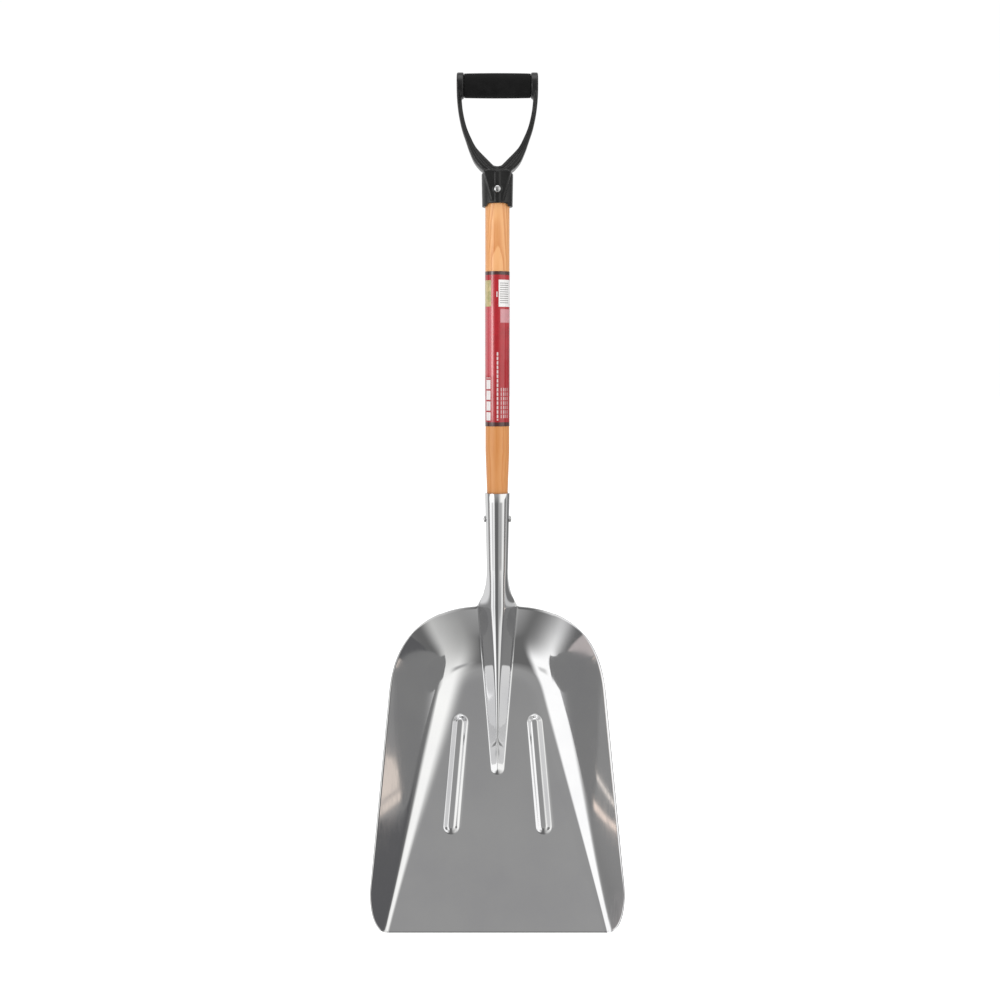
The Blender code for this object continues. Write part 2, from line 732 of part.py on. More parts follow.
def main():
    clear_scene()
    aluminium = make_material("aluminium_sheet", (0.80, 0.80, 0.81), 0.25, 1.0)
    varnished_wood = make_material("varnished_wood", (0.80, 0.42, 0.16), 0.35, 0.0)
    label_film = make_material("label_film", (0.48, 0.03, 0.05), 0.20, 0.0)
    rivet_steel = make_material("rivet_steel", (0.45, 0.45, 0.46), 0.25, 1.0)
    moulded_black = make_material("moulded_black", (0.012, 0.012, 0.013), 0.30, 0.0)
    sleeve_black = make_material("sleeve_black", (0.016, 0.016, 0.016), 0.75, 0.0)
    socket_drill = build_scoop_blade(aluminium)
    grip_drill = rivet_drill("collar_drill", COLLAR_RIVET, "X")
    build_wood_handle(varnished_wood, [socket_drill, grip_drill])
    build_handle_label(label_film)
    build_socket_rivet(rivet_steel)
    build_collar_rivet(rivet_steel)
    build_grip_yoke(moulded_black, grip_drill)
    build_grip_sleeve(sleeve_black)


main()
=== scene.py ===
"""The grain scoop shovel as it looks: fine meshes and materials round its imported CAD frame.

Units are metres and the frame is the CAD's: +Z runs up the handle, the scoop's hollow side faces
-Y and the origin is the underside of the grip bar.
"""

import functools
import math

import bmesh
import bpy
from mathutils import Matrix, Vector, noise


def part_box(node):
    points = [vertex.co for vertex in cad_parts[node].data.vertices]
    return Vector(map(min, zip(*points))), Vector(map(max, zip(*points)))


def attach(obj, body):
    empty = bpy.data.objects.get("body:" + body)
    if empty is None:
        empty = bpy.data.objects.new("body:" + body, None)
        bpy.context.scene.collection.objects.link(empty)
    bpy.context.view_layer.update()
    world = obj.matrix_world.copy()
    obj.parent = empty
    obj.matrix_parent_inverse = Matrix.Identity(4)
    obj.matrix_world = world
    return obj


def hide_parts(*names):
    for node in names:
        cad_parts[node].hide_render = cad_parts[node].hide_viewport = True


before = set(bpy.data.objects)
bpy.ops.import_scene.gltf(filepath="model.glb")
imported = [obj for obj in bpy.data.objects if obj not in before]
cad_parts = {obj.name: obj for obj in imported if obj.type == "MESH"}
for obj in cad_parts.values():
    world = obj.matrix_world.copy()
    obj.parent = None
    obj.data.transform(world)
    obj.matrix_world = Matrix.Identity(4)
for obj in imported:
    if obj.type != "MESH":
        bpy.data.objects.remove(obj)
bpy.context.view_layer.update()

FIT_GAP = 0.0003

# Heights and radii that the frame gives
LABEL_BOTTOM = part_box("handle_label")[0].z
LABEL_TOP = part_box("handle_label")[1].z
LABEL_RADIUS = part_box("handle_label")[1].x
WOOD_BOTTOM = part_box("wood_handle")[0].z
WOOD_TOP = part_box("wood_handle")[1].z
WOOD_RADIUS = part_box("wood_handle")[1].x
COLLAR_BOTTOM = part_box("grip_yoke")[0].z
SOCKET_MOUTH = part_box("scoop_blade")[1].z
SOCKET_RIVET = (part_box("socket_rivet")[0].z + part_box("socket_rivet")[1].z) / 2
COLLAR_RIVET = (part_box("collar_rivet")[0].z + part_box("collar_rivet")[1].z) / 2
CHEEK_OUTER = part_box("grip_yoke")[1].x
SLEEVE_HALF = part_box("grip_sleeve")[1].x
BAR_RADIUS = (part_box("grip_sleeve")[1].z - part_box("grip_sleeve")[0].z) / 2
BAR_HEIGHT = (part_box("grip_sleeve")[1].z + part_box("grip_sleeve")[0].z) / 2
CROTCH = -0.1010                       # lowest point of the D's opening

# Scoop, in floor coordinates: u across, v up the floor from the mouth edge, h off the floor
RIM_TOP = -0.7636
MOUTH_EDGE = -1.2412
SHEET = 0.0020
CUT_EDGE = 0.0004                      # rounding of the sheet's cut edge
LIFT = math.radians(20)
RIM_HEIGHT = 0.070
RIM_LENGTH = (RIM_TOP - MOUTH_EDGE - RIM_HEIGHT * math.sin(LIFT)) / math.cos(LIFT)
RIM_BEHIND_AXIS = 0.010
WALL_SLOPE = 1.03
FLOOR_LENGTH = RIM_LENGTH - RIM_HEIGHT / WALL_SLOPE
FLOOR_HALF_MOUTH = 0.166
FLOOR_TAPER = 0.2405
FLOOR_CORNER = 0.060
MOUTH_FILLET = 0.007
BACK_FILLET = 0.043
SIDE_HALF_WIDTH = 0.1936
SIDE_TAPER = 0.0905
MOUTH_CORNER = 0.070
SHOULDER_START = 0.338
SHOULDER_POWER = 2.7
SHOULDER_RIM_HALF = 0.128
CREASE_RIM_HALF = 0.078
CREASE_TURN = 0.33
CORNER_FADE = 0.03
CORNER_REACH = 0.8
SHOULDER_FADE = 0.55
MOUTH_FADE = 0.2
WALL_BOW = 1.0                         # how much steeper the walls grow, per metre from the crease
MOUTH_Y = RIM_BEHIND_AXIS - RIM_LENGTH * math.sin(LIFT) + RIM_HEIGHT * math.cos(LIFT)

# Pressed ribs in the floor
RIB_FRONT = (0.0715, 0.1432)
RIB_BACK = (0.0567, 0.3267)
RIB_HALF_WIDTH = 0.0128
RIB_CREST_HALF = 0.0030
RIB_HEIGHT = 0.0055
RIB_SHARE_FRONT = 0.501
RIB_SHARE_BACK = 0.5556
RIB_ROOM = 0.069

# Frog, neck and socket
FROG_TIP = 0.2345
FROG_TIP_HALF = 0.0112
FROG_SPREAD = 0.0856
FROG_CREST_TIP = 0.0015
FROG_SAG_TIP = 0.0028                  # how far the crest drops back behind the socket's line
FROG_SAG_GROWTH = 22.0
FROG_FOOT_FILLET = 0.004
FROG_PARALLEL = 0.0095
NECK_LENGTH = 0.060
SOCKET_TOP_RADIUS = 0.0190
SOCKET_TAPER = 0.0225
SEAM_GAP = 0.0016

# Rivets
SHANK_RADIUS = 0.0025
HEAD_RADIUS = 0.0052
HEAD_HEIGHT = 0.0030

# D-grip
CHEEK_INNER = SLEEVE_HALF + FIT_GAP
CHEEK_RADIUS = 0.0192
CORE_RADIUS = 0.0120
COLLAR_RADIUS_BOTTOM = 0.0228
COLLAR_RADIUS_TOP = 0.0236
COLLAR_TOP = CROTCH - 0.010
PAD_DEPTH = 0.0242

# How finely the smooth surfaces are divided
STRIP_COUNTS = (10, 7, 8)              # steps in the frog's crest arc, its flank and its foot
TURNED_SIDES = 96
YOKE_VOXEL = 0.0009

# Camera and surroundings
CAMERA_TARGET = Vector((0, 0, -0.5985))
CAMERA_DISTANCE = 2.25
CAMERA_ELEVATION = math.radians(5)
CAMERA_LENS = 53.3
CAMERA_SHIFT = 0.0026
FLOOR_DROP = 0.24                      # floor below the hanging shovel's mouth edge
FLOOR_RADIUS = 60.0


# ---------------------------------------------------------------- general helpers

def smoothstep(t):
    t = min(max(t, 0.0), 1.0)
    return t * t * (3 - 2 * t)


def lerp(a, b, t):
    return a + (b - a) * t


def shade(mesh, sharp_angle=40):
    mesh.shade_smooth()
    mesh.set_sharp_from_angle(angle=math.radians(sharp_angle))


def link_mesh(name, bm):
    mesh = bpy.data.meshes.new(name)
    bm.to_mesh(mesh)
    bm.free()
    shade(mesh)
    obj = bpy.data.objects.new(name, mesh)
    bpy.context.scene.collection.objects.link(obj)
    return obj


def bake(obj, sharp_angle=40):
    """Turns the object's modifiers into its own mesh."""
    graph = bpy.context.evaluated_depsgraph_get()
    mesh = bpy.data.meshes.new_from_object(obj.evaluated_get(graph), depsgraph=graph)
    obj.modifiers.clear()
    obj.data = mesh
    shade(mesh, sharp_angle)


def add_modifier(obj, kind, **settings):
    modifier = obj.modifiers.new(kind.lower(), kind)
    for key, value in settings.items():
        setattr(modifier, key, value)


def cut_and_join(obj, tools, operation):
    """Adds or takes away the tool bodies, which are then thrown away."""
    for tool in tools:
        add_modifier(obj, "BOOLEAN", operation=operation, object=tool, solver="EXACT")
    bake(obj)
    for tool in tools:
        bpy.data.objects.remove(tool)


def finish_piece(obj, material, node):
    """Gives a piece its material, and lets it stand for its CAD node on the one body."""
    obj.data.materials.clear()
    obj.data.materials.append(material)
    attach(obj, "root")
    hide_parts(node)


def circle(radius, sides):
    """(x, y) points round the axis."""
    angles = [2 * math.pi * i / sides for i in range(sides)]
    return [(radius * math.cos(angle), radius * math.sin(angle)) for angle in angles]


def bridge_rings(bm, rings):
    """Quads between each ring of vertices and the next."""
    for upper, lower in zip(rings, rings[1:]):
        for i in range(len(upper)):
            j = (i + 1) % len(upper)
            bm.faces.new((upper[i], lower[i], lower[j], upper[j]))


def bridge_and_cap(bm, rings):
    bridge_rings(bm, rings)
    bm.faces.new(rings[0])
    bm.faces.new(list(reversed(rings[-1])))


def lofted_body(sections):
    """A solid through sections, which are lists of points."""
    bm = bmesh.new()
    bridge_and_cap(bm, [[bm.verts.new(point) for point in section] for section in sections])
    bmesh.ops.recalc_face_normals(bm, faces=bm.faces)
    return bm


def turned_body(profile, sides, closed=False):
    """A solid of revolution about Z from (radius, z) pairs, top down; closed makes a ring."""
    bm = bmesh.new()
    rings = [[bm.verts.new((x, y, z)) for x, y in circle(radius, sides)] for radius, z in profile]
    if closed:
        bridge_rings(bm, rings + rings[:1])
    else:
        bridge_and_cap(bm, rings)
    return bm


def rounded_profile(points, radius, steps=5):
    """The same (radius, z) outline with its inner corners rounded."""
    vectors = [Vector(p) for p in points]
    result = [vectors[0]]
    for before, corner, after in zip(vectors, vectors[1:], vectors[2:]):
        reach = min(radius, (before - corner).length * 0.45, (after - corner).length * 0.45)
        start = corner + (before - corner).normalized() * reach
        end = corner + (after - corner).normalized() * reach
        for i in range(steps + 1):
            t = i / steps
            result.append(start.lerp(corner, t).lerp(corner.lerp(end, t), t))
    result.append(vectors[-1])
    return [tuple(p) for p in result]


def crosswise(axis, z):
    """Turns a body that runs along Z a quarter about another axis, and lifts it to z."""
    return Matrix.Translation((0, 0, z)) @ Matrix.Rotation(math.pi / 2, 4, axis)


def drill_tool(axis, z, half_length):
    profile = [(SHANK_RADIUS + FIT_GAP, half_length), (SHANK_RADIUS + FIT_GAP, -half_length)]
    tool = link_mesh("drill_tool", turned_body(profile, 32))
    tool.matrix_world = crosswise(axis, z)
    return tool


# ---------------------------------------------------------------- scoop surface

def edge_half_width(v):
    """The rim's half width in plan, from the rounded mouth corner to the shoulder."""
    side = SIDE_HALF_WIDTH - SIDE_TAPER * v
    if v < MOUTH_CORNER:
        t = 1 - v / MOUTH_CORNER
        side -= (SIDE_HALF_WIDTH - FLOOR_HALF_MOUTH) * (1 - math.sqrt(1 - t * t))
    if v > SHOULDER_START:
        t = min((v - SHOULDER_START) / (RIM_LENGTH - SHOULDER_START), 1.0)
        side *= (1 - t ** SHOULDER_POWER) ** (1 / SHOULDER_POWER)
    return side


@functools.lru_cache(maxsize=None)
def rim_v(u):
    """Where the back rim lies, as v, at a distance u from the axis."""
    low, high = SHOULDER_START, RIM_LENGTH
    for _ in range(50):
        middle = (low + high) / 2
        if edge_half_width(middle) > u:
            low = middle
        else:
            high = middle
    return low


def bend(d, half_width):
    """Height of a wall that rises from the flat floor through a smooth bend, at distance d."""
    if d <= -half_width:
        return 0.0
    if d >= half_width:
        return WALL_SLOPE * d
    t = d / half_width
    rise = (t + 1) ** 2 / 4 - (1 + math.cos(math.pi * t)) / (2 * math.pi ** 2)
    return WALL_SLOPE * half_width * rise


def crease_half_width(v):
    return FLOOR_HALF_MOUTH - FLOOR_TAPER * v


def wall_height(u, v):
    beside = (u - crease_half_width(v)) * math.cos(math.atan(FLOOR_TAPER))
    behind = v - FLOOR_LENGTH
    a = max(beside + FLOOR_CORNER, 0.0)
    b = max(behind + FLOOR_CORNER, 0.0)
    d = (a ** 3 + b ** 3) ** (1 / 3) - FLOOR_CORNER
    rise = bend(d, lerp(MOUTH_FILLET, BACK_FILLET, smoothstep(v / FLOOR_LENGTH)))
    return rise * (1 - WALL_BOW * RIM_HEIGHT / WALL_SLOPE ** 2) + WALL_BOW * max(d, 0.0) ** 2


def rib_height(u, v):
    """Height of the pressed rib, a capsule in plan with a rounded crest."""
    front = Vector(RIB_FRONT)
    along = Vector(RIB_BACK) - front
    length = along.length
    along.normalize()
    offset = Vector((u, v)) - front
    s = min(max(offset.dot(along), RIB_HALF_WIDTH), length - RIB_HALF_WIDTH)
    distance = (offset - along * s).length
    t = (distance - RIB_CREST_HALF) / (RIB_HALF_WIDTH - RIB_CREST_HALF)
    t = min(max(t, 0.0), 1.0)
    return RIB_HEIGHT * (1 + math.cos(math.pi * t)) / 2


def scoop_height(u, v):
    return wall_height(abs(u), v) + rib_height(abs(u), v)


def floor_to_world(u, v, h):
    y = MOUTH_Y + v * math.sin(LIFT) - h * math.cos(LIFT)
    z = MOUTH_EDGE + v * math.cos(LIFT) + h * math.sin(LIFT)
    return Vector((u, y, z))


# ---------------------------------------------------------------- frog, neck and socket

def socket_radius(z):
    return SOCKET_TOP_RADIUS - SOCKET_TAPER * (SOCKET_MOUTH - max(z, RIM_TOP))


def frog_half_width(v):
    return FROG_TIP_HALF + FROG_SPREAD * max(v - FROG_TIP - FROG_PARALLEL, 0.0)


def crest_sag(v):
    """How far the frog's crest lies behind the socket's front line, none of it at the rim."""
    t = (v - FROG_TIP - FROG_PARALLEL) / (RIM_LENGTH - FROG_TIP - FROG_PARALLEL)
    return FROG_SAG_TIP * (1 - t) ** 2 * (1 + FROG_SAG_GROWTH * t)


def ridge_shape(half_width, depth, crest_radius, foot_radius):
    """(slope, function) of a ridge's half section: a crest arc, a flank and a foot fillet.

    The function gives the depth below the crest at a distance x from the axis.
    """
    drop = depth - foot_radius - crest_radius
    reach = math.hypot(half_width, drop)
    radii = crest_radius + foot_radius
    slope = math.atan2(drop, half_width) + math.asin(min(radii / reach, 1.0))
    arc_end = crest_radius * math.sin(slope)
    foot_start = half_width - foot_radius * math.sin(slope)

    def depth_at(x):
        if x >= half_width:
            return depth
        if x < arc_end:
            return crest_radius - math.sqrt(crest_radius ** 2 - x * x)
        if x > foot_start:
            from_foot = half_width - x
            return depth - foot_radius + math.sqrt(foot_radius ** 2 - from_foot ** 2)
        return crest_radius * (1 - math.cos(slope)) + (x - arc_end) * math.tan(slope)

    return slope, depth_at


def ridge_stations(half_width, crest_radius, foot_radius, slope):
    """Distances from the axis for the points across half a ridge, crowding on its bends."""
    arc_end = crest_radius * math.sin(slope)
    foot_start = half_width - foot_radius * math.sin(slope)
    arc_count, flank_count, foot_count = STRIP_COUNTS
    xs = [crest_radius * math.sin(slope * i / arc_count) for i in range(arc_count + 1)]
    xs += [lerp(arc_end, foot_start, i / flank_count) for i in range(1, flank_count)]
    xs += [half_width - foot_radius * math.sin(slope * (1 - i / foot_count))
           for i in range(foot_count + 1)]
    steepness = smoothstep(slope / math.radians(35))
    last = len(xs) - 1
    return [lerp(half_width * i / last, x, steepness) for i, x in enumerate(xs)]


def frog_row(v):
    """Half a row of points across the frog, from the crest to its foot at v on the scoop.

    In front of its parallel part the frog ends in a rounded nose, where the section is read at
    the distance from the nose's centre.
    """
    nose = FROG_TIP + FROG_PARALLEL
    ahead = max(nose - v, 0.0)
    solid_v = max(v, nose)
    half_width = frog_half_width(solid_v)
    foot = floor_to_world(half_width, v, scoop_height(half_width, v))
    solid_foot = floor_to_world(half_width, solid_v, scoop_height(half_width, solid_v))
    up = (solid_foot.z - MOUTH_EDGE) / (RIM_TOP - MOUTH_EDGE)
    tip_up = FROG_TIP * math.cos(LIFT) / (RIM_TOP - MOUTH_EDGE)
    depth = solid_foot.y + socket_radius(solid_foot.z) - crest_sag(solid_v)
    growth = max((up - tip_up) / (1 - tip_up), 0.0)
    crest_radius = lerp(FROG_CREST_TIP, socket_radius(RIM_TOP), growth ** 2)
    slope, depth_at = ridge_shape(half_width, depth, crest_radius, FROG_FOOT_FILLET)
    xs = ridge_stations(half_width, crest_radius, FROG_FOOT_FILLET, slope)
    rises = [depth - depth_at(math.hypot(x, ahead)) for x in xs]
    return [Vector((x, foot.y - rise, foot.z)) for x, rise in zip(xs, rises)]


def arc_shares(row):
    """Each point's share of the row's length, from 0 at the crest to 1 at the foot."""
    lengths = [0.0]
    for a, b in zip(row, row[1:]):
        lengths.append(lengths[-1] + (b - a).length)
    return [length / lengths[-1] for length in lengths]


def socket_row(z, rim_row, shares):
    """Half a row of the neck or socket: the open frog at the rim closes into a tube."""
    closing = min((z - RIM_TOP) / NECK_LENGTH, 1.0)
    radius = socket_radius(z)
    last_angle = math.pi - SEAM_GAP / 2 / radius
    row = []
    last = len(rim_row) - 1
    for i, (point, share) in enumerate(zip(rim_row, shares)):
        angle = last_angle * lerp(share, i / last, closing)
        tube = Vector((radius * math.sin(angle), -radius * math.cos(angle), z))
        row.append(Vector((point.x, point.y, z)).lerp(tube, closing))
    return row


# ---------------------------------------------------------------- scoop mesh

def row_stations():
    """v of each row of the grid, closer together where the sheet is shaped."""
    rib_front = RIB_FRONT[1]
    rib_back = RIB_BACK[1]
    spans = [
        (0.0, rib_front - 0.002, 34),
        (rib_front - 0.002, rib_front + 0.014, 13),
        (rib_front + 0.014, FROG_TIP - 0.008, 18),
        (FROG_TIP - 0.008, FROG_TIP + 0.014, 20),
        (FROG_TIP + 0.014, rib_back - 0.014, 14),
        (rib_back - 0.014, rib_back + 0.002, 13),
        (rib_back + 0.002, FLOOR_LENGTH, 24),
        (FLOOR_LENGTH, RIM_LENGTH, 24),
    ]
    stations = [0.0]
    for start, end, steps in spans:
        stations += [lerp(start, end, i / steps) for i in range(1, steps + 1)]
    return stations


def rib_line(v, foot, crease):
    """Half width of the rib's axis, carried on past the rib's ends between frog and crease."""
    share = (v - RIB_FRONT[1]) / (RIB_BACK[1] - RIB_FRONT[1])
    if 0.0 < share < 1.0:
        return lerp(RIB_FRONT[0], RIB_BACK[0], share)
    return lerp(foot, crease, RIB_SHARE_FRONT if share <= 0.0 else RIB_SHARE_BACK)


def guide_lines(v):
    """Half widths of the lines that the grid's columns follow up the floor."""
    foot = frog_half_width(v)
    turn = max((v - CREASE_TURN) / (RIM_LENGTH - CREASE_TURN), 0.0)
    crease = crease_half_width(v)
    crease += (CREASE_RIM_HALF - crease_half_width(RIM_LENGTH)) * turn ** 2
    rib = rib_line(v, foot, crease)
    spread = RIB_HALF_WIDTH * min(1.0, (crease - foot) / RIB_ROOM)
    outer_crease = crease + MOUTH_FILLET * min(v / CORNER_FADE, 1.0)
    return [foot, rib - spread, rib + spread, crease - MOUTH_FILLET, outer_crease]


# Steps between each guide line and the next, and from the last one to the rim
GUIDE_STEPS = (8, 22, 8, 10)
OUTER_STEPS = 20
# Rows up the neck, and up the socket above it
NECK_ROWS = 24
SOCKET_ROWS = 8


def inner_point(guide, share, row_share):
    """(u, v) of a grid point between the frog and the crease."""
    lines = guide_lines(RIM_LENGTH)
    top = lerp(lines[guide], lines[guide + 1], share)
    v = row_share * rim_v(top)
    lines = guide_lines(v)
    return lerp(lines[guide], lines[guide + 1], share), v


def outer_point(share, row_share):
    """(u, v) of a grid point between the crease and the rim.

    A straight blend from crease to rim misses the rim at the mouth corner and the shoulder, so
    what it misses there is added back, fading out along the column.
    """
    crease_top = guide_lines(RIM_LENGTH)[4]
    top_u = lerp(crease_top, SHOULDER_RIM_HALF, share)
    start_v = MOUTH_CORNER * CORNER_REACH * (1 - math.cos(share * math.pi / 2))
    end_v = rim_v(top_u)

    def blended(at_v):
        return lerp(guide_lines(at_v)[4], edge_half_width(at_v), share)

    v = lerp(start_v, end_v, row_share)
    near_end = max((row_share - SHOULDER_FADE) / (1 - SHOULDER_FADE), 0.0) ** 2
    near_start = max(1 - row_share / MOUTH_FADE, 0.0) ** 2
    u = blended(v) + (top_u - blended(end_v)) * near_end
    u += (edge_half_width(start_v) - blended(start_v)) * near_start
    return u, v


def half_rows():
    """Rows of points on the right half, from the crest line outwards, mouth to socket."""
    rows = []
    for v in row_stations():
        row = frog_row(v)
        row_share = v / RIM_LENGTH
        grid = [inner_point(guide, i / steps, row_share)
                for guide, steps in enumerate(GUIDE_STEPS) for i in range(1, steps + 1)]
        grid += [outer_point(i / OUTER_STEPS, row_share) for i in range(1, OUTER_STEPS + 1)]
        row += [floor_to_world(u, grid_v, scoop_height(u, grid_v)) for u, grid_v in grid]
        rows.append(row)
    rim_row = rows[-1][:sum(STRIP_COUNTS) + 1]
    shares = arc_shares(rim_row)
    heights = [RIM_TOP + NECK_LENGTH * i / NECK_ROWS for i in range(1, NECK_ROWS + 1)]
    neck_top = heights[-1]
    heights += [lerp(neck_top, SOCKET_MOUTH, i / SOCKET_ROWS) for i in range(1, SOCKET_ROWS + 1)]
    rows += [socket_row(z, rim_row, shares) for z in heights]
    return rows


def unevenness(point):
    """How far the pressed sheet strays from its true surface: shallow, wide waves."""
    return noise.noise(point * 9.0) * 0.00012 + noise.noise(point * 24.0) * 0.00002


def build_scoop_blade():
    bm = bmesh.new()
    sides = {1: [], -1: []}
    for row in half_rows():
        centre = bm.verts.new(row[0])
        for sign, rows in sides.items():
            mirrored = [bm.verts.new((sign * p.x, p.y, p.z)) for p in row[1:]]
            rows.append([centre] + mirrored)
    for sign, rows in sides.items():
        for lower, upper in zip(rows, rows[1:]):
            for i in range(min(len(lower), len(upper)) - 1):
                face = [lower[i], lower[i + 1], upper[i + 1], upper[i]]
                bm.faces.new(face if sign > 0 else reversed(face))
    bm.normal_update()
    moves = [(vert, vert.normal * unevenness(vert.co)) for vert in bm.verts if vert.co.z < RIM_TOP]
    for vert, move in moves:
        vert.co += move
    blade = link_mesh("scoop_blade_sheet", bm)
    add_modifier(blade, "SOLIDIFY", thickness=SHEET, offset=-1, use_even_offset=True,
                 use_quality_normals=True)
    add_modifier(blade, "BEVEL", width=CUT_EDGE, segments=2, limit_method="ANGLE",
                 angle_limit=math.radians(60))
    bake(blade)
    cut_and_join(blade, [drill_tool("Y", SOCKET_RIVET, 0.03)], "DIFFERENCE")
    return blade


# ---------------------------------------------------------------- handle and label

def build_wood_handle():
    """Domed top, straight shaft, and the taper that fills the socket."""
    radius = WOOD_RADIUS
    inner_mouth = socket_radius(SOCKET_MOUTH) - SHEET
    inner_neck = socket_radius(RIM_TOP + NECK_LENGTH) - SHEET - FIT_GAP * 2
    outline = [
        (0.0010, WOOD_TOP),
        (radius - 0.005, WOOD_TOP),
        (radius - 0.0012, WOOD_TOP - 0.004),
        (radius - 0.0005, COLLAR_BOTTOM + 0.008),
        (radius, COLLAR_BOTTOM + 0.002),
        (radius, SOCKET_MOUTH + 0.064),
        (inner_mouth - 0.0006, SOCKET_MOUTH + 0.016),
        (inner_mouth - 0.0011, SOCKET_MOUTH),
        (inner_neck - 0.0006, RIM_TOP + NECK_LENGTH),
        (inner_neck - 0.0032, RIM_TOP),
        (0.0085, WOOD_BOTTOM + 0.004),
        (0.0060, WOOD_BOTTOM),
        (0.0010, WOOD_BOTTOM),
    ]
    profile = rounded_profile(outline, 0.004)
    handle = link_mesh("wood_handle_shaft", turned_body(profile, TURNED_SIDES))
    drills = [drill_tool("Y", SOCKET_RIVET, 0.03), drill_tool("X", COLLAR_RIVET, 0.04)]
    cut_and_join(handle, drills, "DIFFERENCE")
    return handle


def build_handle_label():
    """A film wrapped once round the shaft, with its end lapped over its start at the back."""
    layer = (LABEL_RADIUS - WOOD_RADIUS - FIT_GAP) * 0.45
    inner = WOOD_RADIUS + FIT_GAP
    lap = math.radians(14)
    steps = 132
    sections = []
    for i in range(steps + 1):
        turn = i / steps
        angle = math.pi / 2 + turn * 2 * math.pi - (1 - turn) * lap
        low = inner + layer * smoothstep((turn - 0.90) / 0.06)
        high = low + layer
        corners = ((low, LABEL_TOP), (high, LABEL_TOP), (high, LABEL_BOTTOM), (low, LABEL_BOTTOM))
        sections.append([(radius * math.cos(angle), radius * math.sin(angle), z)
                         for radius, z in corners])
    return link_mesh("handle_label_film", lofted_body(sections))


# ---------------------------------------------------------------- rivets

def build_rivet(name, axis, z, half_length, seat_drop):
    """A rivet with two heads. seat_drop(x, y) is how far a head's seat lies below its middle."""
    sides = 48
    dome_steps = 9
    rim = 0.0006                           # height of the head's upright rim
    neck = half_length + FIT_GAP
    # Radius, height over the seat, and how closely each ring follows the seat's curve
    half = [(SHANK_RADIUS, 0.0, 1.0), (HEAD_RADIUS - rim / 2, 0.0, 1.0), (HEAD_RADIUS, rim / 2, 1.0)]
    for i in range(dome_steps):
        angle = math.pi / 2 * i / dome_steps
        height = rim + (HEAD_HEIGHT - rim) * math.sin(angle)
        half.append((HEAD_RADIUS * math.cos(angle), height, math.cos(angle) ** 2))
    bm = bmesh.new()
    heads = []
    for sign in (1, -1):
        heads.append([[bm.verts.new((x, y, sign * (neck + height - seat_drop(x, y) * follow)))
                       for x, y in circle(radius, sides)] for radius, height, follow in half])
    rings = list(reversed(heads[0])) + heads[1]
    bridge_rings(bm, rings)
    top = bm.verts.new((0, 0, neck + HEAD_HEIGHT))
    bottom = bm.verts.new((0, 0, -neck - HEAD_HEIGHT))
    for i in range(sides):
        j = (i + 1) % sides
        bm.faces.new((top, rings[0][i], rings[0][j]))
        bm.faces.new((bottom, rings[-1][j], rings[-1][i]))
    bm.transform(crosswise(axis, z))
    return link_mesh(name, bm)


def build_socket_rivet():
    radius = socket_radius(SOCKET_RIVET)

    def seat_drop(x, y):
        return radius - math.sqrt(radius * radius - y * y)

    return build_rivet("socket_rivet_steel", "Y", SOCKET_RIVET, radius, seat_drop)


def build_collar_rivet():
    return build_rivet("collar_rivet_steel", "X", COLLAR_RIVET, PAD_DEPTH, lambda x, y: 0.0)


# ---------------------------------------------------------------- D-grip

# (outer x, inner x, z, half depth) down the right arm of the D, from the cheek to the crotch
ARM_STATIONS = [
    (0.0602, 0.0506, 0.0300, 0.0150),
    (0.0602, 0.0516, 0.0200, 0.0180),
    (0.0600, 0.0532, 0.0060, 0.0165),
    (0.0590, 0.0524, -0.0085, 0.0130),
    (0.0568, 0.0503, -0.0240, 0.0120),
    (0.0525, 0.0456, -0.0430, 0.0120),
    (0.0467, 0.0384, -0.0600, 0.0127),
    (0.0418, 0.0305, -0.0740, 0.0140),
    (0.0346, 0.0156, -0.0898, 0.0185),
    (0.0262, 0.0055, -0.1000, 0.0215),
]
ARM_STEPS = 6                          # sections from one station to the next
FLANGE_DROP = 0.004                    # how far the outer edge lies below the inner one
CROTCH_BOTTOM = -0.1240
CROTCH_HALF_DEPTH = 0.0225


def catmull(values, t):
    """A smooth curve through equally spaced tuples; t runs from 0 to their count less one."""
    last = len(values) - 1
    i = min(int(t), last - 1)
    f = t - i
    p0, p1 = values[max(i - 1, 0)], values[i]
    p2, p3 = values[i + 1], values[min(i + 2, last)]
    result = []
    for a, b, c, d in zip(p0, p1, p2, p3):
        result.append(b + 0.5 * f * (c - a + f * (2 * a - 5 * b + 4 * c - d
                                                  + f * (3 * (b - c) + d - a))))
    return tuple(result)


def arm_section(outer, inner, half_depth):
    """Points round the arm: a deep outer flange, and a shallower web towards the inside."""
    outer, inner = Vector(outer), Vector(inner)
    shape = [(0.0, 0.72), (0.12, 0.96), (0.20, 1.0), (0.46, 1.0), (0.56, 0.84), (0.86, 0.82),
             (1.0, 0.66)]
    section = []
    for sign in (-1, 1):
        side = []
        for share, depth in shape:
            p = outer.lerp(inner, share)
            side.append((p.x, sign * half_depth * depth, p.y))
        section += side if sign < 0 else list(reversed(side))
    return section


def d_frame_body():
    """Both arms and the crotch as one bar swept down one side and up the other."""
    right = []
    for step in range((len(ARM_STATIONS) - 1) * ARM_STEPS + 1):
        outer, inner, z, depth = catmull(ARM_STATIONS, step / ARM_STEPS)
        right.append(arm_section((outer, z - FLANGE_DROP), (inner, z), depth))
    left = [[(-x, y, z) for x, y, z in section] for section in reversed(right)]
    crotch = arm_section((0, CROTCH_BOTTOM), (0, CROTCH), CROTCH_HALF_DEPTH)
    return lofted_body(right + [crotch] + left)


def prism_body(outline, depth):
    """A flat plate of the (x, z) outline, from -depth to +depth in y."""
    return lofted_body([[(x, y, z) for x, z in outline] for y in (-depth, depth)])


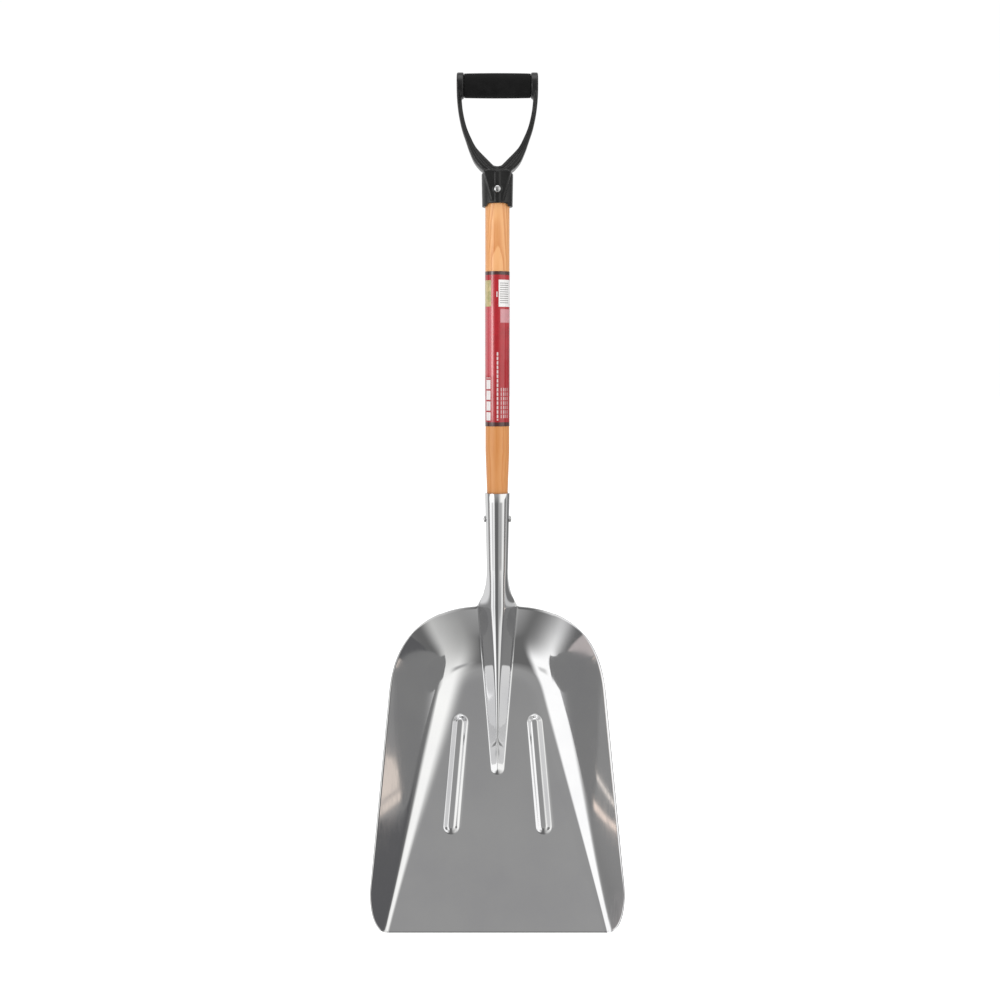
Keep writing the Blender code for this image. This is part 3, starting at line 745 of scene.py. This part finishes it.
def pad_body():
    """The tapered flat pad that runs through the collar from front to back."""
    top, bottom = CROTCH - 0.002, COLLAR_BOTTOM + 0.008
    wide, narrow = 0.0208, 0.0092
    outline = [(wide, top - 0.006), (narrow, bottom), (-narrow, bottom), (-wide, top - 0.006),
               (-wide * 0.6, top - 0.004), (wide * 0.6, top - 0.004)]
    return prism_body(outline, PAD_DEPTH - 0.0009)


def boss_body():
    """The centre rib that carries the rivet, from the crotch to the collar's lip."""
    half = 0.0032
    top, bottom = CROTCH - 0.009, COLLAR_BOTTOM + 0.006
    outline = [(half, top), (half, bottom), (-half, bottom), (-half, top)]
    return prism_body(outline, PAD_DEPTH)


def bar_body(half_length, radius, bevel):
    """A cylinder along X, centred on the origin, with rounded ends."""
    outline = [(0.001, half_length), (radius, half_length), (radius, -half_length),
               (0.001, -half_length)]
    bm = turned_body(rounded_profile(outline, bevel), TURNED_SIDES)
    bm.transform(crosswise("Y", 0))
    return bm


def lip_cutter():
    """Raises the collar's lip in an arch at the front and the back."""
    half, height, corner = 0.0158, 0.0042, 0.0036
    outline = [(half, -0.010), (half, height - corner)]
    for i in range(1, 7):
        angle = math.pi / 2 * i / 6
        outline.append((half - corner + corner * math.cos(angle),
                        height - corner + corner * math.sin(angle)))
    outline += [(-x, z) for x, z in reversed(outline)]
    return prism_body([(x, z + COLLAR_BOTTOM) for x, z in outline], 0.040)


def remesh(obj, smoothing):
    """Melts overlapping bodies into one skin, with edges as soft as a moulding's."""
    add_modifier(obj, "REMESH", mode="VOXEL", voxel_size=YOKE_VOXEL)
    if smoothing:
        add_modifier(obj, "SMOOTH", factor=0.5, iterations=smoothing)
    bake(obj, 60)


def build_grip_yoke():
    collar = [(COLLAR_RADIUS_TOP - 0.006, COLLAR_TOP + 0.005), (COLLAR_RADIUS_TOP, COLLAR_TOP),
              (COLLAR_RADIUS_BOTTOM, COLLAR_BOTTOM)]
    cheek_half = (CHEEK_OUTER - CHEEK_INNER) / 2
    cheek_middle = (CHEEK_OUTER + CHEEK_INNER) / 2
    rivet_boss = turned_body([(0.0064, PAD_DEPTH), (0.0064, -PAD_DEPTH)], 48)
    rivet_boss.transform(crosswise("X", COLLAR_RIVET))
    bodies = [turned_body(collar, TURNED_SIDES), d_frame_body(), pad_body(), boss_body(), rivet_boss]
    for sign in (1, -1):
        cheek = bar_body(cheek_half, CHEEK_RADIUS, 0.0022)
        cheek.transform(Matrix.Translation((sign * cheek_middle, 0, BAR_HEIGHT)))
        bodies.append(cheek)
    merged = bmesh.new()
    for body in bodies:
        mesh = bpy.data.meshes.new("yoke_body")
        body.to_mesh(mesh)
        body.free()
        merged.from_mesh(mesh)
        bpy.data.meshes.remove(mesh)
    yoke = link_mesh("grip_yoke_moulding", merged)
    remesh(yoke, 0)
    bore = [(WOOD_RADIUS - 0.0040, WOOD_TOP + FIT_GAP), (WOOD_RADIUS + FIT_GAP, WOOD_TOP - 0.004),
            (WOOD_RADIUS + 0.0004, COLLAR_BOTTOM - 0.010)]
    cut_and_join(yoke, [link_mesh("bore_tool", turned_body(bore, TURNED_SIDES)),
                        link_mesh("lip_tool", lip_cutter())], "DIFFERENCE")
    remesh(yoke, 4)
    core = link_mesh("core_tool", bar_body(cheek_middle, CORE_RADIUS, 0.001))
    core.location = (0, 0, BAR_HEIGHT)
    cut_and_join(yoke, [core], "UNION")
    cut_and_join(yoke, [drill_tool("X", COLLAR_RIVET, 0.04)], "DIFFERENCE")
    return yoke


def build_grip_sleeve():
    """A tube round the core bar, slightly fuller in the middle, with rounded ends."""
    inner = CORE_RADIUS + FIT_GAP
    outer = []
    for i in range(25):
        x = SLEEVE_HALF * (1 - i / 12)
        outer.append((BAR_RADIUS * (1 - 0.03 * (x / SLEEVE_HALF) ** 2), x))
    outer[0] = (outer[0][0] - 0.0008, outer[0][1])
    outer[-1] = (outer[-1][0] - 0.0008, outer[-1][1])
    outer.insert(1, (outer[1][0] - 0.0002, SLEEVE_HALF - 0.0006))
    outer.insert(-1, (outer[-2][0] - 0.0002, -SLEEVE_HALF + 0.0006))
    profile = [(inner, SLEEVE_HALF)] + outer + [(inner, -SLEEVE_HALF)]
    sleeve = turned_body(profile, TURNED_SIDES, closed=True)
    sleeve.transform(crosswise("Y", BAR_HEIGHT))
    return link_mesh("grip_sleeve_tube", sleeve)


# ---------------------------------------------------------------- material helpers

class Nodes:
    """Short ways to add and join shader nodes in one tree."""

    def __init__(self, tree):
        self.tree = tree

    def add(self, kind, inputs=None, **settings):
        node = self.tree.nodes.new(kind)
        for key, value in settings.items():
            setattr(node, key, value)
        for key, value in (inputs or {}).items():
            self.put(node.inputs[key], value)
        return node

    def put(self, socket, value):
        if isinstance(value, bpy.types.NodeSocket):
            self.tree.links.new(value, socket)
        elif isinstance(value, bpy.types.Node):
            self.tree.links.new(value.outputs[0], socket)
        else:
            socket.default_value = value

    def math(self, operation, a, b=0.0, c=0.0):
        return self.add("ShaderNodeMath", {0: a, 1: b, 2: c}, operation=operation).outputs[0]

    def times(self, a, b):
        return self.math("MULTIPLY", a, b)

    def ramp(self, value, low, high, to_low=0.0, to_high=1.0, kind="SMOOTHSTEP"):
        node = self.add("ShaderNodeMapRange", {0: value, 1: low, 2: high, 3: to_low, 4: to_high},
                        interpolation_type=kind)
        return node.outputs[0]

    def between(self, value, low, high, soft):
        """1 where value lies between low and high, with soft edges."""
        rise = self.ramp(value, low - soft, low + soft)
        fall = self.ramp(value, high - soft, high + soft, 1.0, 0.0)
        return self.times(rise, fall)

    def mix(self, factor, a, b):
        node = self.add("ShaderNodeMix", {0: factor, 6: a, 7: b}, data_type="RGBA")
        return node.outputs[2]

    def paint(self, colour, mask, amount, over):
        """The colour, with so much of another over it where the mask is 1."""
        return self.mix(self.times(mask, amount), colour, over)

    def noise(self, vector, scale, detail, roughness):
        node = self.add("ShaderNodeTexNoise", {"Vector": vector, "Scale": scale, "Detail": detail,
                                               "Roughness": roughness})
        return node.outputs[0]

    def grain(self, vector, scales, detail, roughness):
        """Noise with a scale of its own along each axis, drawn out where that is small."""
        node = self.add("ShaderNodeMapping", {"Vector": vector, "Scale": scales})
        return self.noise(node.outputs[0], 1.0, detail, roughness)

    def surface(self, shader, colour, roughness, relief, strength, depth):
        """Joins the colour, the roughness and a bump of that relief to the shader."""
        bump = self.add("ShaderNodeBump", {"Height": relief, "Strength": strength, "Distance": depth})
        for name, value in (("Base Color", colour), ("Roughness", roughness), ("Normal", bump)):
            self.put(shader.inputs[name], value)


def new_material(name):
    material = bpy.data.materials.new(name)
    material.use_nodes = True
    nodes = Nodes(material.node_tree)
    shader = material.node_tree.nodes["Principled BSDF"]
    place = nodes.add("ShaderNodeTexCoord").outputs["Object"]
    return material, nodes, shader, place


def grey(value):
    return (value, value, value, 1.0)


def aluminium_material():
    """Bright rolled sheet: faint streaks along its length, fine scratches and smudges."""
    material, nodes, shader, place = new_material("aluminium_sheet")
    streaks = nodes.grain(place, (420, 420, 6), 4.0, 0.6)
    smudges = nodes.noise(place, 11.0, 5.0, 0.55)
    scratches = nodes.grain(place, (60, 60, 1400), 2.0, 0.6)
    roughness = nodes.ramp(smudges, 0.35, 0.70, 0.035, 0.075)
    roughness = nodes.math("ADD", roughness, nodes.ramp(streaks, 0.3, 0.7, -0.01, 0.02))
    colour = nodes.mix(nodes.ramp(smudges, 0.3, 0.75), grey(0.80), (0.75, 0.75, 0.76, 1))
    relief = nodes.math("MULTIPLY_ADD", streaks, 0.04, nodes.times(scratches, 0.02))
    nodes.surface(shader, colour, roughness, relief, 0.05, 0.0006)
    shader.inputs["Metallic"].default_value = 1.0
    return material


def wood_material():
    """Clear-varnished ash: long growth-ring arches from a pith behind the shaft, and pores."""
    material, nodes, shader, place = new_material("varnished_wood")
    axes = nodes.add("ShaderNodeSeparateXYZ", {"Vector": place}).outputs
    wander = nodes.grain(place, (14, 14, 5), 3.0, 0.5)
    across = nodes.math("MULTIPLY_ADD", axes[2], 0.020, axes[0])
    across = nodes.math("MULTIPLY_ADD", wander, 0.010, across)
    deep = nodes.math("MULTIPLY_ADD", axes[2], 0.035, nodes.math("SUBTRACT", axes[1], 0.055))
    deep = nodes.math("MULTIPLY_ADD", wander, 0.012, deep)
    squares = nodes.math("ADD", nodes.math("POWER", across, 2.0), nodes.math("POWER", deep, 2.0))
    ring = nodes.math("FRACT", nodes.times(nodes.math("SQRT", squares), 330.0))
    late = nodes.times(nodes.ramp(ring, 0.25, 0.92), nodes.ramp(ring, 0.93, 1.0, 1.0, 0.0))
    fibres = nodes.grain(place, (700, 700, 9), 4.0, 0.65)
    pores = nodes.ramp(nodes.grain(place, (1500, 1500, 45), 2.0, 0.5), 0.60, 0.70)
    pores = nodes.times(pores, nodes.ramp(ring, 0.0, 0.35, 1.0, 0.15))
    patches = nodes.grain(place, (22, 22, 7), 3.0, 0.5)
    pale = nodes.ramp(fibres, 0.35, 0.7, 0.0, 0.45)
    brown = nodes.ramp(patches, 0.45, 0.75, 0.0, 0.45)
    lower = nodes.ramp(axes[2], LABEL_TOP, LABEL_BOTTOM - 0.04, 0.0, 0.62)
    colour = nodes.mix(late, (0.79, 0.395, 0.160, 1), (0.60, 0.215, 0.052, 1))
    colour = nodes.mix(pale, colour, (0.84, 0.46, 0.200, 1))
    colour = nodes.mix(brown, colour, (0.62, 0.235, 0.060, 1))
    colour = nodes.mix(lower, colour, (0.56, 0.205, 0.036, 1))
    colour = nodes.paint(colour, pores, 0.55, (0.36, 0.13, 0.035, 1))
    roughness = nodes.ramp(fibres, 0.3, 0.7, 0.34, 0.48)
    relief = nodes.math("MULTIPLY_ADD", pores, -0.6, fibres)
    nodes.surface(shader, colour, roughness, relief, 0.18, 0.0003)
    shader.inputs["Coat Weight"].default_value = 0.25
    shader.inputs["Coat Roughness"].default_value = 0.14
    return material


def label_material():
    """Glossy printed film: a red field with painted shade that darkens it downwards and a painted
    pinkish reflection on its left, dark end bands, and plain blocks where print would be.
    """
    material, nodes, shader, place = new_material("label_film")
    axes = nodes.add("ShaderNodeSeparateXYZ", {"Vector": place}).outputs
    angle = nodes.math("ARCTAN2", axes[0], nodes.times(axes[1], -1.0))
    down = nodes.math("SUBTRACT", LABEL_TOP, axes[2])
    length = LABEL_TOP - LABEL_BOTTOM

    def block(left, right, top, bottom, soft=0.00025):
        """A mask over angles in degrees from the front, and metres down from the label's top."""
        sides = nodes.between(angle, math.radians(left), math.radians(right), 0.012)
        return nodes.times(sides, nodes.between(down, top, bottom, soft))

    def repeats(per_metre):
        """From 0 to 1 over and over down the label."""
        return nodes.math("FRACT", nodes.times(down, per_metre))

    white = (0.80, 0.79, 0.78, 1)
    pink = (0.85, 0.62, 0.66, 1)
    mottling = nodes.ramp(nodes.noise(place, 55.0, 4.0, 0.6), 0.35, 0.65)
    print_grain = nodes.noise(place, 900.0, 2.0, 0.6)
    colour = nodes.mix(mottling, (0.42, 0.010, 0.019, 1), (0.36, 0.007, 0.014, 1))
    # Painted shade: the red darkens towards the label's foot.
    colour = nodes.paint(colour, nodes.ramp(down, 0.03, 0.20), 0.25, (0.27, 0.006, 0.010, 1))
    # Painted reflection: a paler pinkish patch over the left side of the label.
    colour = nodes.paint(colour, block(-100, -18, 0.050, 0.155, 0.004), 0.55, (0.60, 0.12, 0.14, 1))
    panel_mottling = nodes.ramp(nodes.noise(place, 140.0, 4.0, 0.6), 0.4, 0.6)
    panel_colour = nodes.mix(panel_mottling, (0.52, 0.42, 0.20, 1), (0.36, 0.33, 0.14, 1))
    colour = nodes.mix(block(-95, -30, 0.013, 0.052), colour, panel_colour)
    colour = nodes.mix(block(6, 78, 0.0125, 0.0525), colour, white)
    bars = nodes.between(repeats(310.0), 0.25, 0.62, 0.06)
    bars = nodes.times(bars, block(12, 60, 0.0165, 0.049))
    colour = nodes.paint(colour, bars, 0.75, (0.10, 0.09, 0.09, 1))
    colour = nodes.paint(colour, block(14, 74, 0.056, 0.076, 0.001), 0.42, pink)
    colour = nodes.paint(colour, block(30, 70, 0.076, 0.132, 0.003), 0.02, pink)
    strip_breaks = nodes.ramp(repeats(62.0), 0.82, 0.88, 1.0, 0.0)
    strip = nodes.times(block(-62, -34, 0.158, 0.222), strip_breaks)
    colour = nodes.paint(colour, strip, 0.92, white)
    line_breaks = nodes.ramp(repeats(150.0), 0.70, 0.85, 1.0, 0.0)
    line = nodes.times(block(-3, 4, 0.120, 0.222), line_breaks)
    colour = nodes.paint(colour, line, 0.75, white)
    for left, right in ((16, 20), (28, 34), (40, 43), (50, 54)):
        line = nodes.times(block(left, right, 0.172, 0.220), line_breaks)
        colour = nodes.paint(colour, line, 0.55, white)
    colour = nodes.mix(block(-4, 0, 0.030, 0.038), colour, white)
    ends = nodes.math("SUBTRACT", 1.0, nodes.between(down, 0.0052, length - 0.0062, 0.0004))
    colour = nodes.mix(ends, colour, (0.060, 0.018, 0.016, 1))
    wrinkles = nodes.grain(place, (70, 70, 24), 2.0, 0.5)
    roughness = nodes.ramp(print_grain, 0.3, 0.7, 0.26, 0.34)
    nodes.surface(shader, colour, roughness, wrinkles, 0.20, 0.0006)
    shader.inputs["Specular IOR Level"].default_value = 0.1
    shader.inputs["Coat Weight"].default_value = 1.0
    shader.inputs["Coat IOR"].default_value = 1.7
    shader.inputs["Coat Roughness"].default_value = 0.07
    return material


def steel_material():
    """Plated rivet steel with fine turning marks and slight tarnish."""
    material, nodes, shader, place = new_material("rivet_steel")
    marks = nodes.noise(place, 1800.0, 3.0, 0.6)
    tarnish = nodes.noise(place, 420.0, 4.0, 0.6)
    colour = nodes.mix(nodes.ramp(tarnish, 0.4, 0.7), grey(0.72), grey(0.48))
    roughness = nodes.ramp(tarnish, 0.35, 0.7, 0.14, 0.30)
    nodes.surface(shader, colour, roughness, marks, 0.15, 0.0001)
    shader.inputs["Metallic"].default_value = 1.0
    return material


def moulded_material():
    """Glossy black nylon with a fine mould texture and a few rubbed, duller places."""
    material, nodes, shader, place = new_material("moulded_black")
    pebbles = nodes.noise(place, 1500.0, 3.0, 0.6)
    rubbed = nodes.noise(place, 48.0, 4.0, 0.6)
    colour = nodes.mix(nodes.ramp(rubbed, 0.4, 0.7), grey(0.007), grey(0.012))
    roughness = nodes.ramp(rubbed, 0.35, 0.7, 0.24, 0.36)
    nodes.surface(shader, colour, roughness, pebbles, 0.12, 0.0002)
    return material


def sleeve_material():
    """Matt black rubbery sleeve with a pebbled surface."""
    material, nodes, shader, place = new_material("sleeve_black")
    pebbles = nodes.add("ShaderNodeTexVoronoi", {"Vector": place, "Scale": 900.0}).outputs[0]
    dust = nodes.noise(place, 60.0, 5.0, 0.65)
    colour = nodes.mix(nodes.ramp(dust, 0.4, 0.75), grey(0.005), grey(0.009))
    roughness = nodes.ramp(dust, 0.3, 0.7, 0.62, 0.80)
    nodes.surface(shader, colour, roughness, pebbles, 0.30, 0.0002)
    shader.inputs["Specular IOR Level"].default_value = 0.14
    return material


def floor_material():
    """Pale painted board with the faintest mottling."""
    material, nodes, shader, place = new_material("studio_floor")
    mottling = nodes.noise(place, 3.0, 5.0, 0.6)
    nodes.put(shader.inputs["Base Color"], nodes.mix(mottling, grey(0.93), grey(0.90)))
    nodes.put(shader.inputs["Roughness"], nodes.ramp(mottling, 0.3, 0.7, 0.85, 0.95))
    nodes.put(shader.inputs["Emission Color"], nodes.mix(mottling, grey(1.0), grey(0.96)))
    shader.inputs["Emission Strength"].default_value = 0.75
    return material


# ---------------------------------------------------------------- studio

# Azimuths and elevations are in degrees: azimuth 0 is the camera's side and 90 the right.
# Things beside the scoop that its walls mirror: azimuth, then the elevation there and the slope
# of the upper edge, the same for the lower edge, and radiance
SIDE_BANDS = [
    (-84.0, -8.3, 1.5, -8.7, 1.5, (1.15, 1.05, 0.98, 1)),
    (-84.0, -10.3, 1.2, -10.9, 1.2, (1.10, 0.92, 0.82, 1)),
    (84.0, -10.5, -0.6, -24.0, 0.0, (0.125, 0.125, 0.13, 1)),
    (-84.0, -13.2, 0.0, -25.0, 0.0, (0.58, 0.53, 0.52, 1)),
    (84.0, -8.0, -0.33, -10.1, -0.95, (0.84, 0.74, 0.67, 1)),
    (84.0, -9.1, -0.95, -9.4, -0.95, (0.45, 0.41, 0.39, 1)),
]
BAND_REACH = 7.0                       # degrees of azimuth either side
BAND_EDGE = 0.12                       # half width of a band's soft edge


def hill(nodes, value, rise_start, rise_end, fall_start, fall_end):
    """0 to 1 and back to 0 as value goes up."""
    rise = nodes.ramp(value, rise_start, rise_end)
    return nodes.times(rise, nodes.ramp(value, fall_start, fall_end, 1.0, 0.0))


def add_glows(nodes, light, azimuth, elevation):
    """Broad glows that start beside the camera and end beside the scoop."""
    left = nodes.times(azimuth, -1.0)
    above = nodes.math("MAXIMUM", elevation, 0.0)
    below = nodes.math("MINIMUM", elevation, 0.0)
    dim = nodes.times(nodes.ramp(elevation, 13.0, 22.0, 0.0, 0.5),
                      nodes.ramp(nodes.math("ABSOLUTE", azimuth), 42.0, 56.0))
    bright = nodes.math("SUBTRACT", 1.0, dim)
    # On the right, ending sooner the higher it is
    end = nodes.math("SUBTRACT", azimuth, nodes.times(above, 3.0))
    glow = nodes.times(nodes.ramp(azimuth, 1.0, 40.0), nodes.ramp(end, 64.0, 74.0, 1.0, 0.0))
    glow = nodes.times(glow, nodes.ramp(elevation, -72.0, 0.0, 0.05, 1.0, "LINEAR"))
    light = nodes.mix(nodes.times(glow, bright), light, (1.18, 1.18, 1.16, 1))
    # On the left, starting further out
    start = nodes.times(nodes.math("MAXIMUM", elevation, 5.0), 0.5)
    start = nodes.math("SUBTRACT", left, start)
    end = nodes.math("MULTIPLY_ADD", below, -0.35, nodes.math("MAXIMUM", elevation, 4.0))
    end = nodes.math("ADD", left, end)
    glow = nodes.times(nodes.ramp(start, 18.0, 33.0), nodes.ramp(end, 81.0, 89.0, 1.0, 0.0))
    glow = nodes.times(glow, nodes.ramp(elevation, -62.0, -22.0))
    return nodes.mix(nodes.times(glow, bright), light, grey(1.25))


def add_side_bands(nodes, light, azimuth, elevation):
    for middle, top, top_slope, bottom, bottom_slope, colour in SIDE_BANDS:
        along = nodes.math("SUBTRACT", azimuth, middle)
        roof = nodes.math("MULTIPLY_ADD", along, top_slope, top)
        foot = nodes.math("MULTIPLY_ADD", along, bottom_slope, bottom)
        under = nodes.math("SUBTRACT", roof, elevation)
        over = nodes.math("SUBTRACT", elevation, foot)
        inside = nodes.ramp(nodes.math("MINIMUM", under, over), -BAND_EDGE, BAND_EDGE)
        distance = nodes.math("ABSOLUTE", along)
        reach = nodes.ramp(distance, BAND_REACH, BAND_REACH + 1.0, 1.0, 0.0)
        light = nodes.mix(nodes.times(inside, reach), light, colour)
    return light


def studio_light(nodes, azimuth, elevation):
    """The grey front, a glow on each side, the bands, and plain greys behind, above and below."""
    left = nodes.times(azimuth, -1.0)
    aside = nodes.math("ABSOLUTE", azimuth)
    front = nodes.ramp(elevation, -8.0, 12.0, 0.16, 0.36, "LINEAR")
    front = nodes.math("SUBTRACT", front, nodes.ramp(elevation, 21.0, 30.0, 0.0, 0.04))
    light = nodes.add("ShaderNodeCombineXYZ", {0: front, 1: front, 2: front})
    light = nodes.mix(nodes.ramp(aside, 76.0, 84.0), light, grey(0.30))
    light = add_glows(nodes, light, azimuth, elevation)
    light = add_side_bands(nodes, light, azimuth, elevation)
    # Dark strips at the height that the upright socket mirrors
    low = hill(nodes, elevation, -15.0, -10.0, -8.5, -3.0)
    patches = [
        (hill(nodes, azimuth, 91.0, 95.0, 101.0, 108.0), 0.62),
        (hill(nodes, azimuth, 104.0, 110.0, 128.0, 140.0), 0.20),
        (nodes.times(hill(nodes, azimuth, 6.0, 20.0, 36.0, 56.0), low), 0.45),
        (nodes.times(hill(nodes, left, 34.0, 44.0, 50.0, 62.0), low), 0.75),
        (nodes.ramp(left, 94.0, 108.0), 0.85),
        (nodes.ramp(aside, 132.0, 150.0), 0.80),
        (nodes.ramp(elevation, 34.0, 48.0), 0.70),
        (nodes.ramp(elevation, -58.0, -72.0), 0.75),
    ]
    for mask, value in patches:
        light = nodes.mix(mask, light, grey(value))
    return light


def build_world():
    """White to the camera; to the object, a soft studio that varies with direction."""
    world = bpy.data.worlds.new("studio")
    bpy.context.scene.world = world
    world.use_nodes = True
    nodes = Nodes(world.node_tree)
    background = world.node_tree.nodes["Background"]
    way = nodes.add("ShaderNodeTexCoord").outputs["Generated"]
    axes = nodes.add("ShaderNodeSeparateXYZ", {"Vector": way}).outputs
    turn = nodes.math("ARCTAN2", axes[0], nodes.times(axes[1], -1.0))
    azimuth = nodes.math("DEGREES", turn)
    elevation = nodes.math("DEGREES", nodes.math("ARCSINE", axes[2]))
    light = studio_light(nodes, azimuth, elevation)
    path = nodes.add("ShaderNodeLightPath").outputs
    # Light that bounces inside the scoop more than once comes from a plainer studio.
    onward = nodes.ramp(path["Ray Depth"], 2.4, 2.6)
    light = nodes.paint(light, nodes.ramp(elevation, 12.0, 2.0), onward, grey(0.30))
    aside = nodes.times(nodes.ramp(nodes.math("ABSOLUTE", azimuth), 5.0, 12.0),
                        hill(nodes, elevation, -1.0, 4.0, 22.0, 28.0))
    light = nodes.paint(light, aside, onward, grey(0.95))
    light = nodes.mix(path["Is Camera Ray"], light, grey(1.02))
    nodes.put(background.inputs["Color"], light)
    background.inputs["Strength"].default_value = 1.0


# Soft boxes: name, place, the point faced, width, height, spread in degrees, radiance
SOFT_BOXES = [
    ("top_box", (0.0, -0.5, 1.7), (0.0, 0.0, -0.6), 1.6, 1.2, 180, 1.3),
    ("left_strip", (-0.98, -0.84, 0.03), (0.0, 0.0, 0.03), 0.44, 1.10, 40, 4.4),
]


def add_soft_box(name, place, faced, width, height, spread, radiance):
    light = bpy.data.lights.new(name, "AREA")
    light.shape = "RECTANGLE"
    light.size = width
    light.size_y = height
    half_spread = math.radians(spread) / 2
    light.spread = 2 * half_spread
    # A spread below 180 degrees gathers the light's power towards the point that it faces.
    gathered = 1 - half_spread / math.tan(half_spread)
    light.energy = radiance * math.pi * width * height * gathered
    lamp = bpy.data.objects.new(name, light)
    bpy.context.scene.collection.objects.link(lamp)
    lamp.location = place
    away = Vector(place) - Vector(faced)
    lamp.rotation_euler = away.to_track_quat("Z", "Y").to_euler()


def build_floor():
    bm = bmesh.new()
    bmesh.ops.create_circle(bm, cap_ends=True, segments=96, radius=FLOOR_RADIUS)
    floor = link_mesh("studio_floor", bm)
    floor.location = (0, 0, MOUTH_EDGE - FLOOR_DROP)
    floor.data.materials.append(floor_material())
    floor.visible_glossy = False


def build_camera():
    camera = bpy.data.cameras.new("camera")
    camera.lens = CAMERA_LENS
    camera.clip_end = 200.0
    camera.shift_x = CAMERA_SHIFT
    body = bpy.data.objects.new("camera", camera)
    bpy.context.scene.collection.objects.link(body)
    back = Vector((0, -math.cos(CAMERA_ELEVATION), math.sin(CAMERA_ELEVATION)))
    body.location = CAMERA_TARGET + back * CAMERA_DISTANCE
    body.rotation_euler = back.to_track_quat("Z", "Y").to_euler()
    bpy.context.scene.camera = body


def main():
    pieces = [
        (build_scoop_blade, aluminium_material, "scoop_blade", "aluminium_sheet"),
        (build_wood_handle, wood_material, "wood_handle", "varnished_wood"),
        (build_handle_label, label_material, "handle_label", "label_film"),
        (build_grip_yoke, moulded_material, "grip_yoke", "moulded_black"),
        (build_grip_sleeve, sleeve_material, "grip_sleeve", "sleeve_black"),
    ]
    for build, make_material, node, slot in pieces:
        finish_piece(build(), make_material(), node)
    steel = steel_material()
    finish_piece(build_socket_rivet(), steel, "socket_rivet")
    finish_piece(build_collar_rivet(), steel, "collar_rivet")
    build_world()
    for box in SOFT_BOXES:
        add_soft_box(*box)
    build_floor()
    build_camera()
    bpy.context.scene.view_settings.view_transform = "Standard"


main()
